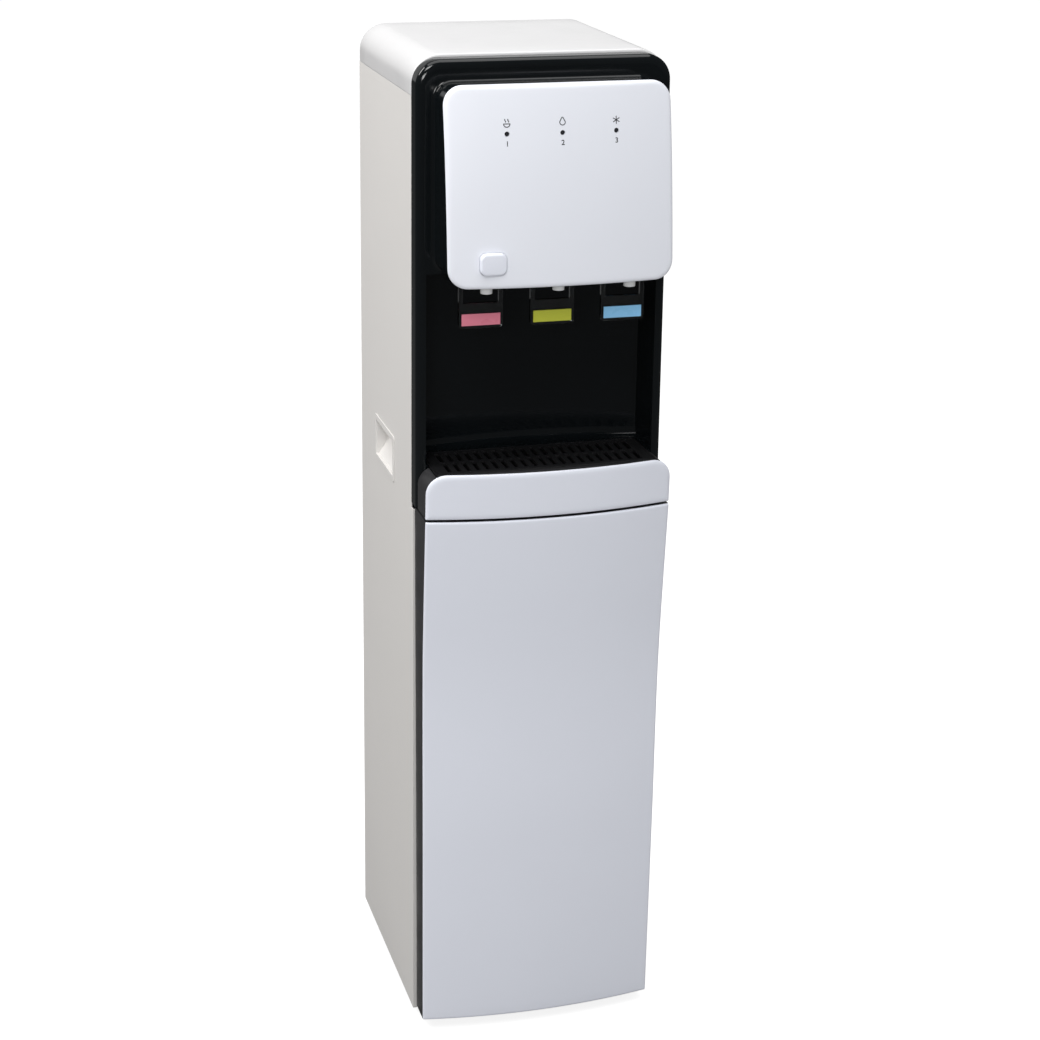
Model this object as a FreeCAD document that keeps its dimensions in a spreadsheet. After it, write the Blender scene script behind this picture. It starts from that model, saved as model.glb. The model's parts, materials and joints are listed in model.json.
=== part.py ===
import FreeCAD, Part
import math
import os
from types import SimpleNamespace

import Sketcher
from FreeCAD import Placement, Rotation, Vector

# Bottom-loading water dispenser: a slim floor-standing cabinet that draws from
# a bottle behind its door and serves hot, room and cold water from three taps.
# Lengths are in millimetres. X runs to the viewer's right, Y to the back and Z up.
# While it is drawn, y = 0 is the front edge of the upper side panels and z = 0
# the floor. Each finished piece is then moved by one shift along Y, so that the
# origin lies under the middle of the whole object.

doc = FreeCAD.newDocument("water_dispenser")
dims = doc.addObject("Spreadsheet::Sheet", "dims")

SIZES = [
    # cabinet
    ("cabinet_width", 285, "across the outer faces of the side panels"),
    ("cabinet_height", 1150, "floor to the top of the lid"),
    ("cabinet_depth", 270, "front edge of the upper side panels to the back folds"),
    ("foot_height", 10, "floor to the base pan"),
    ("foot_radius", 15, "radius of a foot"),
    ("foot_inset", 34, "foot centre to the nearest side or back"),
    ("sheet", 1.2, "steel sheet of the panels"),
    ("fold_width", 13, "folded edge at the back"),
    ("front_fold", 8, "folded edge behind the fascia"),
    ("lower_fold", 4.5, "narrow folded edge beside the bottle"),
    ("lower_step", 8, "the side panels stand further forward below the seam"),
    ("step_drop", 6, "height from that step up to the seam"),
    ("seam_height", 648, "floor to the seam between door and apron"),
    ("lid_height", 44, "height of the moulded lid"),
    ("lid_radius", 43, "rounding of the lid's long edges"),
    ("lid_wall", 2.5, "wall of the lid"),
    ("lid_back_edge", 2, "bevel of the lid's back edge"),
    ("panel_gap", 0.4, "gap where one fixed piece fits inside another"),
    # carry handles
    ("handle_length", 94, "opening of the carry handle along Y"),
    ("handle_height", 46, "opening of the carry handle along Z"),
    ("handle_back", 139, "middle of the carry handle behind the front edge"),
    ("handle_level", 670, "middle of the carry handle above the floor"),
    ("handle_depth", 24, "depth of the scoop at its top"),
    ("handle_foot", 5, "depth of the scoop at its lower edge"),
    ("handle_wall", 2, "wall of the handle cup"),
    ("handle_lip", 5, "border of the cup on the panel"),
    ("lip_proud", 1, "how far the border stands off the panel"),
    # fascia and bay
    ("fascia_depth", 24, "front of the fascia ahead of the side panels"),
    ("fascia_inset", 4, "fascia set in from the panels and the lid"),
    ("fascia_radius", 32, "upper corners of the fascia"),
    ("fascia_wall", 3, "wall of the fascia"),
    ("fascia_edge", 2, "bevel of the fascia's front edge"),
    ("bay_border", 7, "fascia left standing at each side of the bay"),
    ("bay_depth", 58, "fascia front to the bay wall at its sides"),
    ("bay_dish", 16, "extra depth of the curved bay wall in the middle"),
    ("bay_wall", 2.5, "wall of the bay panel"),
    ("well_depth", 28, "tray well below the grille's top"),
    ("well_length", 50, "how far the tray well reaches behind the fascia front"),
    ("well_inset", 14.5, "tray well set in from the side panels"),
    # head
    ("head_inset", 17.5, "head cover set in from the side panels"),
    ("head_drop", 24, "top of the head cover below the lid's top"),
    ("head_height", 211, "height of the head cover"),
    ("head_reach_low", 98, "side edge of the cover ahead of the panels, bottom"),
    ("head_reach_mid", 87.5, "the same at half its height"),
    ("head_reach_high", 69, "the same at the top"),
    ("head_bow", 11, "how far the cover bulges in the middle"),
    ("cover_skin", 3, "thickness of the head cover"),
    ("cover_radius", 21, "corners of the head cover"),
    ("hood_inset", 3, "black body behind the cover, set in from its outline"),
    ("hood_wall", 3, "wall of the black body"),
    # apron
    ("apron_inset", 1.5, "apron and door top set in from the side panels"),
    ("apron_height", 52, "seam to the top of the apron"),
    ("apron_reach_low", 64.5, "side edge of the apron ahead of the panels, bottom"),
    ("apron_reach_high", 67, "the same at the top"),
    ("front_bow", 17, "how far apron and door top bulge in the middle"),
    ("front_skin", 3, "thickness of the apron and door skins"),
    ("apron_radius", 23, "upper corners of the apron"),
    ("housing_drop", 3, "tray housing set below the apron's top edge"),
    ("housing_floor", 3, "floor of the tray housing under the well"),
    # door
    ("door_bottom", 14, "floor to the door's lower edge"),
    ("seam_gap", 3, "open seam between door and apron"),
    ("door_foot_inset", 4, "door's lower edge set in from the side panels"),
    ("door_reach_foot", 43.5, "side edge of the door at its lower edge"),
    ("door_reach_shin", 47, "the same at the first station"),
    ("door_reach_waist", 50, "the same at the second station"),
    ("door_reach_flare", 57, "the same at the third station"),
    ("door_bow_foot", 13, "bulge of the door at its lower edge"),
    ("shin_level", 250, "height of the first station"),
    ("waist_level", 480, "height of the second station"),
    ("flare_level", 565, "height of the third station"),
    ("door_gap", 2.5, "door back ahead of the lower side panels"),
    ("door_wall", 3, "wall of the door liner"),
    ("liner_recess", 3, "depth of the recess in the liner's back"),
    ("liner_rim", 14, "rim round that recess"),
    ("hinge_inset", 8.5, "hinge axis from the door's side at the seam"),
    ("hinge_forward", 18, "hinge axis ahead of the lower side panels"),
    ("hinge_pin", 3, "radius of the hinge pins"),
    ("pin_clearance", 0.05, "gap round each pivot pin"),
    ("pin_grip", 14, "length of hinge pin inside the door"),
    ("hinge_plate", 2, "thickness of the hinge plates"),
    ("boss_half", 6.5, "half width of the hinge bosses"),
    ("door_open", 550, "height of the opening in the door frame"),
    ("frame_side", 4.6, "side members of the door frame"),
    ("frame_depth", 14, "depth of the door frame"),
    ("frame_foot", 26, "floor to the opening of the door frame"),
    ("magnet_length", 30, "length of a door magnet"),
    ("magnet_height", 12, "height of a door magnet"),
    ("magnet_proud", 1.8, "how far a magnet stands off the frame"),
    ("strike_plate", 1.2, "thickness of the strike plates"),
    # taps
    ("lever_back", 60, "lever ahead of the side panels"),
    ("pivot_rise", 40, "lever pivots above the head's lower edge"),
    ("spout_ahead", 24, "nozzle axis ahead of the lever pivot"),
    ("inlet_rise", 15, "tap inlets above the head's lower edge"),
    ("inlet_radius", 6, "half width of the square tap inlets"),
    ("water_bore", 4, "radius of the waterways"),
    ("barrel_radius", 8, "half width of the valve block"),
    ("barrel_rise", 8, "top of the valve block above the tap inlet"),
    ("nozzle_radius", 6.5, "outside radius of the nozzle"),
    ("nozzle_drop", 9, "how far the nozzle shows below the head"),
    ("cheek_wall", 3, "thickness of the cheeks that carry a pivot"),
    ("cheek_gap", 0.5, "gap between lever and cheek"),
    ("cheek_half", 7, "half height of a cheek"),
    ("tap_flange", 3, "thickness of the tap's mounting flange"),
    ("pivot_radius", 2, "radius of the lever pivot pins"),
    ("lever_width", 49, "width of a push lever"),
    ("lever_thick", 5, "thickness of a push lever"),
    ("lever_arm", 4.5, "width of the lever's side arms"),
    ("lever_reach", 93, "lever pivot down to the lever's lower edge"),
    ("lever_plate", 28, "height of the plate that the cup pushes"),
    ("lever_bar", 12, "height of the bar at the pivot"),
    ("nose_width", 12, "width of the nose that works the valve"),
    ("nose_thick", 5, "thickness of that nose"),
    ("insert_width", 43, "width of the colour insert"),
    ("insert_height", 13, "height of the colour insert"),
    ("insert_proud", 1, "colour insert ahead of the lever plate"),
    ("insert_rise", 3.5, "colour insert above the lever's lower edge"),
    ("stem_radius", 2.5, "valve stem"),
    ("stem_disc", 5.5, "corner radius of the head that the spring lifts"),
    ("disc_thick", 1.6, "thickness of that head"),
    ("stem_gap", 0.3, "gap between stem and lever nose"),
    ("spring_radius", 4.6, "outside radius of the valve spring"),
    ("spring_wire", 0.8, "wire of the valve spring"),
    # head fittings
    ("lamp_drop", 49.5, "indicator lamps below the top of the head"),
    ("lamp_radius", 2.5, "radius of an indicator lens"),
    ("lamp_back", 64, "rear end of the lenses ahead of the panels"),
    ("board_thick", 1.6, "thickness of the circuit boards"),
    ("board_height", 30, "height of the indicator board"),
    ("button_rise", 26.5, "middle of the lock button above the head's lower edge"),
    ("button_width", 29, "width of the lock button"),
    ("button_tall", 24, "height of the lock button"),
    ("button_radius", 6, "corners of the lock button"),
    ("button_front", 107.5, "face of the lock button ahead of the panels"),
    ("button_flange", 1.5, "hidden flange that keeps the button in"),
    ("button_seat", 94.8, "back of that flange ahead of the panels"),
    ("button_travel", 2, "travel of the lock button"),
    ("button_gap", 0.4, "gap round the lock button"),
    ("button_border", 3, "how far the hidden flange stands out all round"),
    # tray
    ("tray_gap", 0.6, "gap between the tray and its well"),
    ("tray_wall", 2, "wall of the drip tray"),
    ("grille_thick", 3, "thickness of the drip grille"),
    ("grille_gap", 0.4, "gap between the grille and the tray's rim"),
    ("slot_width", 5, "width of a grille slot"),
    ("slot_pitch", 11, "distance between grille slots"),
    ("slot_length", 30, "length of a grille slot"),
    ("slot_rib", 6, "rib between the two rows of slots"),
    # bottle compartment
    ("shelf_level", 560, "floor to the shelf above the bottle"),
    ("bottle_radius", 134, "radius of the bottle"),
    ("mat_thick", 6, "thickness of the floor mat"),
    ("mat_recess", 2.5, "depth of the bottle's seat in the mat"),
    ("pan_rim", 16, "height of the base pan's rim"),
    ("probe_inset", 29.5, "suction probe from the left side panel"),
    ("probe_back", 240, "suction probe behind the front edge"),
    ("probe_radius", 4.5, "dip tube"),
    ("probe_foot", 40, "floor to the lower end of the dip tube"),
    ("cap_radius", 25, "bottle cap on the probe"),
    ("cap_level", 486, "floor to the bottle cap"),
    ("cap_height", 24, "height of the bottle cap"),
    ("nipple_height", 8, "hose nipple on the cap"),
    ("hose_radius", 6, "suction hose"),
    ("clip_wall", 2, "wall of the probe clips"),
    ("clip_height", 12, "height of a probe clip"),
    ("clip_low", 90, "floor to the lower clip"),
    # machinery
    ("pump_radius", 24, "pump motor"),
    ("pump_height", 70, "height of the pump motor"),
    ("pump_inset", 50.5, "pump from the left side panel"),
    ("pump_back", 222, "pump behind the front edge"),
    ("compressor_radius", 62, "compressor shell"),
    ("compressor_height", 128, "height of the compressor shell"),
    ("compressor_side", 20, "compressor to the right of the middle"),
    ("compressor_back", 180, "compressor behind the front edge"),
    ("mount_height", 10, "rubber mounts under the compressor"),
    ("mount_pitch", 96, "distance between the rubber mounts"),
    ("mount_width", 14, "width of a rubber mount"),
    ("compressor_wall", 6, "shell of the compressor with the works inside it"),
    ("plate_border", 10, "foot plate beyond the rubber mounts"),
    ("plate_thick", 3, "thickness of the foot plate"),
    ("terminal_width", 40, "width of the terminal box"),
    ("terminal_height", 42, "height of the terminal box"),
    ("terminal_level", 30, "foot plate to the terminal box"),
    ("terminal_proud", 14, "how far the terminal box stands out"),
    ("tank_shelf_level", 735, "floor to the shelf under the tanks"),
    ("tank_shelf_height", 12, "folded rim of that shelf"),
    ("cold_radius", 62, "cold water tank"),
    ("tank_clearance", 4, "gap between a tank and its side panel"),
    ("tank_back", 168, "tanks behind the front edge"),
    ("tank_rise", 19, "top of the tanks above the tap inlets"),
    ("jacket_wall", 12, "foam round the cold tank"),
    ("hot_radius", 46, "hot water tank"),
    ("tank_wall", 1.5, "sheet of the hot tank"),
    ("heater_proud", 8, "how far the heater's terminal block stands out"),
    ("heater_height", 40, "height of that block"),
    ("hose_wall_radius", 5, "outside radius of the water tubes"),
    # back of the cabinet
    ("coil_inset", 29.5, "condenser set in from the side panels"),
    ("coil_bottom", 690, "floor to the lowest run of the condenser"),
    ("coil_pitch", 46, "distance between condenser runs"),
    ("coil_runs", 8, "number of condenser runs"),
    ("coil_tube", 2.4, "radius of the condenser tube"),
    ("coil_gap", 12, "condenser tube behind the back panel"),
    ("coil_wire", 0.8, "radius of the condenser wires"),
    ("wire_count", 16, "wires on each face of the condenser"),
    ("vent_length", 80, "length of a vent"),
    ("vent_height", 4, "height of a vent"),
    ("vent_pitch", 12, "distance between vents"),
    ("vent_count", 8, "vents in a group"),
    ("vent_side", 15, "lower vents to the left of the middle"),
    ("switch_side", 62, "switches to the right of the middle"),
    ("switch_level", 610, "floor to the switches"),
    ("switch_pitch", 30, "distance between the two switches"),
    ("rocker_width", 13, "width of a rocker"),
    ("rocker_tall", 20, "height of a rocker"),
    ("rocker_gap", 0.5, "gap round a rocker"),
    ("rocker_pivot", 3, "radius of the round back that a rocker turns on"),
    ("rocker_swing", 2, "extra gap above and below a rocker for its swing"),
    ("switch_depth", 18, "depth of the switch housing"),
    ("drain_side", 70, "drain to the left of the middle"),
    ("drain_level", 600, "floor to the drain"),
    ("drain_radius", 7, "outside radius of the drain spout"),
    ("drain_reach", 13, "drain spout behind the back panel"),
    ("drain_inside", 20, "drain spout inside the cabinet"),
    ("cap_wall", 2, "wall of the drain cap"),
    ("drain_gap", 0.4, "gap between the drain spout and its cap"),
    ("gland_inset", 30.5, "cord gland from the right side panel"),
    ("gland_level", 575, "floor to the cord gland"),
    ("gland_radius", 8, "half width of the cord gland"),
    ("cord_bore", 3.8, "hole for the cord in the gland"),
    ("control_level", 645, "floor to the control board"),
    ("control_inset", 6, "corners of the control board to its posts"),
    ("post_length", 8, "control board to the back panel"),
    ("relay_size", 24, "side of the relay on the control board"),
    ("relay_proud", 18, "height of the relay"),
    ("control_width", 90, "width of the control board"),
    ("control_height", 60, "height of the control board"),
]


class Length:
    """A length that knows its value and the expression that gives it."""

    def __init__(self, text, value):
        self.text = text
        self.value = value

    def _join(self, sign, other, value):
        return Length(f"({self.text} {sign} {other.text})", value)

    def __add__(self, other):
        other = as_length(other)
        return self._join("+", other, self.value + other.value)

    def __sub__(self, other):
        other = as_length(other)
        return self._join("-", other, self.value - other.value)

    def __mul__(self, other):
        other = as_length(other)
        return self._join("*", other, self.value * other.value)

    def __truediv__(self, other):
        other = as_length(other)
        return self._join("/", other, self.value / other.value)

    def __neg__(self):
        return Length(f"(-{self.text})", -self.value)

    def __radd__(self, other):
        return as_length(other) + self

    def __rsub__(self, other):
        return as_length(other) - self

    def __rmul__(self, other):
        return as_length(other) * self


def as_length(number):
    """Plain numbers become lengths, and lengths stay as they are."""
    if isinstance(number, Length):
        return number
    return Length(repr(float(number)), float(number))


def smaller(first, second):
    """The smaller of two lengths, so that a rounding fits its wall."""
    first, second = as_length(first), as_length(second)
    return Length(f"min({first.text}; {second.text})", min(first.value, second.value))


for row, (alias, number, note) in enumerate(SIZES, start=1):
    dims.set(f"A{row}", alias)
    dims.set(f"B{row}", str(number))
    dims.setAlias(f"B{row}", alias)
    dims.set(f"C{row}", note)
doc.recompute()

s = SimpleNamespace(
    **{alias: Length(f"dims.{alias}", float(dims.get(alias))) for alias, number, note in SIZES}
)


# Drawing helpers. Each makes one object and ties its sizes to the sheet.


def bind(thing, prop, length):
    thing.setExpression(prop, as_length(length).text)


def box(name, low, high):
    """A block between two opposite corners."""
    block = doc.addObject("Part::Box", name)
    for axis, prop, first, last in zip("xyz", ("Length", "Width", "Height"), low, high):
        first, last = as_length(first), as_length(last)
        if first.value > last.value:
            first, last = last, first
        bind(block, prop, last - first)
        bind(block, f"Placement.Base.{axis}", first)
    return block


TURN_STEPS = 6
TURNS = {"z": Rotation(), "x": Rotation(Vector(0, 1, 0), 90), "y": Rotation(Vector(1, 0, 0), -90)}


def rod(name, radius, start, length, axis="z"):
    """A cylinder that runs from its start along an axis."""
    cylinder = doc.addObject("Part::Cylinder", name)
    cylinder.Placement = Placement(Vector(), TURNS[axis])
    bind(cylinder, "Radius", radius)
    bind(cylinder, "Height", length)
    for letter, place in zip("xyz", start):
        bind(cylinder, f"Placement.Base.{letter}", place)
    return cylinder


def prism(name, sides, radius, start, length, axis="z"):
    """A regular bar with flat sides. The radius reaches its corners."""
    bar = doc.addObject("Part::Prism", name)
    bar.Placement = Placement(Vector(), TURNS[axis])
    bar.Polygon = sides
    bind(bar, "Circumradius", radius)
    bind(bar, "Height", length)
    for letter, place in zip("xyz", start):
        bind(bar, f"Placement.Base.{letter}", place)
    return bar


def fuse(name, *shapes):
    joined = doc.addObject("Part::MultiFuse", name)
    joined.Shapes = list(shapes)
    return joined


def cut(name, base, *tools):
    hole = doc.addObject("Part::Cut", name)
    hole.Base = base
    hole.Tool = tools[0] if len(tools) == 1 else fuse(name + "_tools", *tools)
    return hole


def common(name, first, second):
    shared = doc.addObject("Part::Common", name)
    shared.Base = first
    shared.Tool = second
    return shared


def group(name, *shapes):
    """Separate solids that share one name."""
    compound = doc.addObject("Part::Compound", name)
    compound.Links = list(shapes)
    return compound


def softened(kind, name, base, radius, choose):
    """Works along the edges that choose picks."""
    doc.recompute()
    edges = base.Shape.Edges
    picked = [number for number, edge in enumerate(edges, start=1) if choose(edge)]
    feature = doc.addObject(kind, name)
    feature.Base = base
    size = as_length(radius).value
    feature.Edges = [(number, size, size) for number in picked]
    return feature


def rounded(name, base, radius, choose):
    return softened("Part::Fillet", name, base, radius, choose)


def bevelled(name, base, radius, choose):
    return softened("Part::Chamfer", name, base, radius, choose)


def runs_along(edge, axis):
    """True for a straight edge along the named axis."""
    if len(edge.Vertexes) < 2 or not isinstance(edge.Curve, (Part.Line, Part.LineSegment)):
        return False
    way = edge.Vertexes[1].Point - edge.Vertexes[0].Point
    others = [abs(getattr(way, letter)) for letter in "xyz" if letter != axis]
    return max(others) < 1e-6


def rounded_block(name, low, high, radius, axis, choose=None):
    """A block with its edges along one axis rounded, all or the chosen ones."""
    plain = box(name + "_blank", low, high)
    return rounded(
        name, plain, radius,
        lambda edge: runs_along(edge, axis) and (choose is None or choose(edge.CenterOfMass)),
    )


def sketch_on(body, name, role, offset):
    """An empty sketch on one of the body's own planes, moved along its normal."""
    sketch = body.newObject("Sketcher::SketchObject", name)
    plane = [feature for feature in body.Origin.OriginFeatures if feature.Role == role][0]
    sketch.AttachmentSupport = (plane, [""])
    sketch.MapMode = "FlatFace"
    bind(sketch, "AttachmentOffset.Base.z", offset)
    return sketch


def pin_point(sketch, geometry, end, point):
    """Ties a point of the sketch to its coordinates."""
    for kind, length in zip(("DistanceX", "DistanceY"), point):
        length = as_length(length)
        index = sketch.addConstraint(
            Sketcher.Constraint(kind, -1, 1, geometry, end, length.value)
        )
        sketch.setExpression(f"Constraints[{index}]", length.text)


def outline(sketch, corners, bows=None):
    """A closed outline of straight sides. A bow turns a side into an arc.

    A bow is how far the middle of that side stands forward, towards -Y. Such a
    side runs between two points that mirror each other across the middle plane.
    """
    bows = bows or {}
    at = [Vector(as_length(x).value, as_length(y).value, 0) for x, y in corners]
    ends = []
    centres = []
    for index, start in enumerate(at):
        finish = at[(index + 1) % len(at)]
        if index in bows:
            middle = (start + finish) / 2 - Vector(0, bows[index].value, 0)
            if (middle - start).cross(finish - middle).z > 0:
                number = sketch.addGeometry(Part.Arc(start, middle, finish), False)
                ends.append((number, 1, 2))
            else:
                number = sketch.addGeometry(Part.Arc(finish, middle, start), False)
                ends.append((number, 2, 1))
            centres.append((number, arc_centre(corners[index], bows[index])))
        else:
            number = sketch.addGeometry(Part.LineSegment(start, finish), False)
            ends.append((number, 1, 2))
    for index, (number, first, last) in enumerate(ends):
        following = ends[(index + 1) % len(ends)]
        sketch.addConstraint(
            Sketcher.Constraint("Coincident", number, last, following[0], following[1]))
        pin_point(sketch, number, first, corners[index])
    for number, height in centres:
        index = sketch.addConstraint(
            Sketcher.Constraint("DistanceY", -1, 1, number, 3, height.value))
        sketch.setExpression(f"Constraints[{index}]", height.text)
    return sketch


def arc_centre(end, bow):
    """Y of the centre of an arc through a side point that bulges by bow."""
    across, along = as_length(end[0]), as_length(end[1])
    return along + (across * across - bow * bow) / (2 * bow)


def slab(name, role, offset, length, corners, bows=None):
    """A body padded from one outline."""
    body = doc.addObject("PartDesign::Body", name)
    sketch = outline(sketch_on(body, name + "_sketch", role, offset), corners, bows)
    pad = body.newObject("PartDesign::Pad", name + "_pad")
    pad.Profile = sketch
    bind(pad, "Length", length)
    return body


def slab_y(name, front, back, corners, bows=None):
    """An outline in X and Z, padded from its back face to its front face."""
    return slab(name, "XZ_Plane", -as_length(back), back - front, corners, bows)


def slab_x(name, low, high, corners, bows=None):
    """An outline in Y and Z, padded along X."""
    return slab(name, "YZ_Plane", low, high - low, corners, bows)


def slab_z(name, low, high, corners, bows=None):
    """An outline in X and Y, padded along Z."""
    return slab(name, "XY_Plane", low, high - low, corners, bows)


def bowed_loft(name, stations, depth=None, back=None):
    """A form whose front bulges in plan.

    Each station gives height, half width, reach of the side edges and bulge.
    With depth the result is a skin of that thickness, with back a full block.
    """
    body = doc.addObject("PartDesign::Body", name)
    sketches = []
    for index, (level, half, reach, bow) in enumerate(stations):
        sketch = sketch_on(body, f"{name}_station_{index}", "XY_Plane", level)
        front = -as_length(reach)
        bows = {0: bow}
        if depth is None:
            corners = [(-half, front), (half, front), (half, back), (-half, back)]
        else:
            corners = [(-half, front), (half, front), (half, front + depth), (-half, front + depth)]
            bows[2] = bow
        sketches.append(outline(sketch, corners, bows))
    loft = body.newObject("PartDesign::AdditiveLoft", name + "_loft")
    loft.Profile = (sketches[0], [""])
    loft.Sections = [(sketch, [""]) for sketch in sketches[1:]]
    loft.Ruled = True
    return body


def bar_along(path, reach):
    """A square bar that follows a path of straight steps, which starts along +Y."""
    start = path.OrderedVertexes[0].Point
    corners = [start + Vector(x * reach, 0, z * reach)
               for x, z in ((-1, -1), (1, -1), (1, 1), (-1, 1), (-1, -1))]
    return path.makePipeShell([Part.makePolygon(corners)], True, False, 1)


# Places that several pieces share.

half = s.cabinet_width / 2
base = s.foot_height
back = s.cabinet_depth
top = s.cabinet_height
lid_seam = top - s.lid_height
seam = s.seam_height
lower_front = -s.lower_step
step_level = seam - s.step_drop
fascia_front = -s.fascia_depth
fascia_half = half - s.fascia_inset
bay_half = fascia_half - s.bay_border
bay_back = fascia_front + s.bay_depth
apron_top = seam + s.apron_height
grille_top = apron_top - s.housing_drop
well_floor = grille_top - s.well_depth
well_back = fascia_front + s.well_length
head_top = top - s.head_drop
head_bottom = head_top - s.head_height
head_half = half - s.head_inset
tap_pitch = head_half * 0.64
pivot_height = head_bottom + s.pivot_rise
inlet_height = head_bottom + s.inlet_rise
barrel_top = inlet_height + s.barrel_rise
lever_bottom = pivot_height - s.lever_reach
lamp_pitch = head_half * 0.48
lamp_height = head_top - s.lamp_drop
board_width = head_half * 1.2
button_side = head_half * 0.62
button_height = head_bottom + s.button_rise
tank_height = inlet_height + s.tank_rise - s.tank_shelf_level
apron_half = half - s.apron_inset
well_half = half - s.well_inset
gland_x = half - s.gland_inset
probe_x = -(half - s.probe_inset)
pump_x = -(half - s.pump_inset)
cold_full = s.cold_radius + s.jacket_wall
cold_x = half - s.sheet - cold_full - s.tank_clearance
hot_x = -(half - s.sheet - s.hot_radius - s.tank_clearance)
door_top = seam - s.seam_gap
door_back = lower_front - s.door_gap
hinge_x = apron_half - s.hinge_inset
hinge_y = lower_front - s.hinge_forward
panel_back = back + s.sheet
coil_y = panel_back + s.coil_gap
rear_reach = coil_y + s.coil_tube + 2 * s.coil_wire
head_front = -(s.head_reach_low + s.head_bow)
frame_shift = -(rear_reach + head_front) / 2

nodes = []


def node(label, shape, moved=True):
    """Names a finished piece and moves it into the object's frame."""
    shape.Label = label
    if moved:
        bind(shape, "Placement.Base.y", frame_shift)
    nodes.append(shape)
    return shape


# Cabinet shell


def make_base_pan():
    outer = box("pan_outer", (-half + s.sheet, lower_front + s.sheet, base),
                (half - s.sheet, back - s.sheet, base + s.pan_rim))
    inner = box("pan_inner", (-half + 2 * s.sheet, lower_front + 2 * s.sheet, base + s.sheet),
                (half - 2 * s.sheet, back - 2 * s.sheet, base + s.pan_rim + s.sheet))
    return node("base_pan", cut("pan", outer, inner))


def make_feet():
    """Screw feet with flat sides to turn them by."""
    feet = []
    for side in (-1, 1):
        for place in (s.foot_inset, back - s.foot_inset):
            feet.append(prism("foot", 12, s.foot_radius,
                              (side * (half - s.foot_inset), place, 0), base))
    return node("feet", group("feet_group", *feet))


def handle_edges(margin):
    """Low and high edges of the carry-handle opening, widened by a margin."""
    low_y = s.handle_back - s.handle_length / 2 - margin
    high_y = s.handle_back + s.handle_length / 2 + margin
    low_z = s.handle_level - s.handle_height / 2 - margin
    high_z = s.handle_level + s.handle_height / 2 + margin
    return low_y, high_y, low_z, high_z


def make_side_panel(label, side):
    """Sheet panel with a forward step below the seam and folded edges."""
    outer, inner = side * half, side * (half - s.sheet)
    low, high = (outer, inner) if side < 0 else (inner, outer)
    corners = [(lower_front, base), (back, base), (back, lid_seam), (0, lid_seam),
               (0, step_level), (lower_front, step_level)]
    face = slab_x(label + "_face", low, high, corners)
    fold = side * (half - s.fold_width)
    front_edge = side * (half - s.front_fold)
    narrow = side * (half - s.lower_fold)
    back_fold = box("back_fold", (outer, back - s.sheet, base), (fold, back, lid_seam))
    front_fold = box("front_fold_strip", (outer, 0, seam), (front_edge, s.sheet, lid_seam))
    lower_fold = box("lower_fold_strip", (outer, lower_front, base),
                     (narrow, lower_front + s.sheet, step_level))
    whole = fuse(label + "_sheet", face, back_fold, front_fold, lower_fold)
    low_y, high_y, low_z, high_z = handle_edges(s.panel_gap)
    window = box("handle_window", (side * (half + s.sheet), low_y, low_z),
                 (side * (half - 3 * s.sheet), high_y, high_z))
    return node(label, cut(label + "_cut", whole, window))


def make_handle_cup(label, side):
    """Moulded scoop: deep under its upper edge, shallow at its lower edge."""
    low_y, high_y, low_z, high_z = handle_edges(0)
    face = half + s.lip_proud
    deep = half - s.handle_depth
    foot = half - s.handle_foot
    shelf = high_z - s.handle_height / 3

    def scoop(name, wall, front):
        corners = [(side * front, low_z + wall), (side * (foot + wall), low_z + wall),
                   (side * (deep + wall), shelf + wall / 2), (side * (deep + wall), high_z - wall),
                   (side * front, high_z - wall)]
        return slab_y(name, low_y + wall, high_y - wall, corners)

    shell = scoop(label + "_shell", 0 * s.handle_wall, face)
    hollow = scoop(label + "_hollow", s.handle_wall, face + s.lip_proud)
    wide = handle_edges(s.handle_lip)
    lip = rounded_block(label + "_lip", (side * half, wide[0], wide[2]),
                        (side * face, wide[1], wide[3]), s.handle_lip, "x")
    return node(label, cut(label + "_cut", fuse(label + "_body", shell, lip), hollow))


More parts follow.
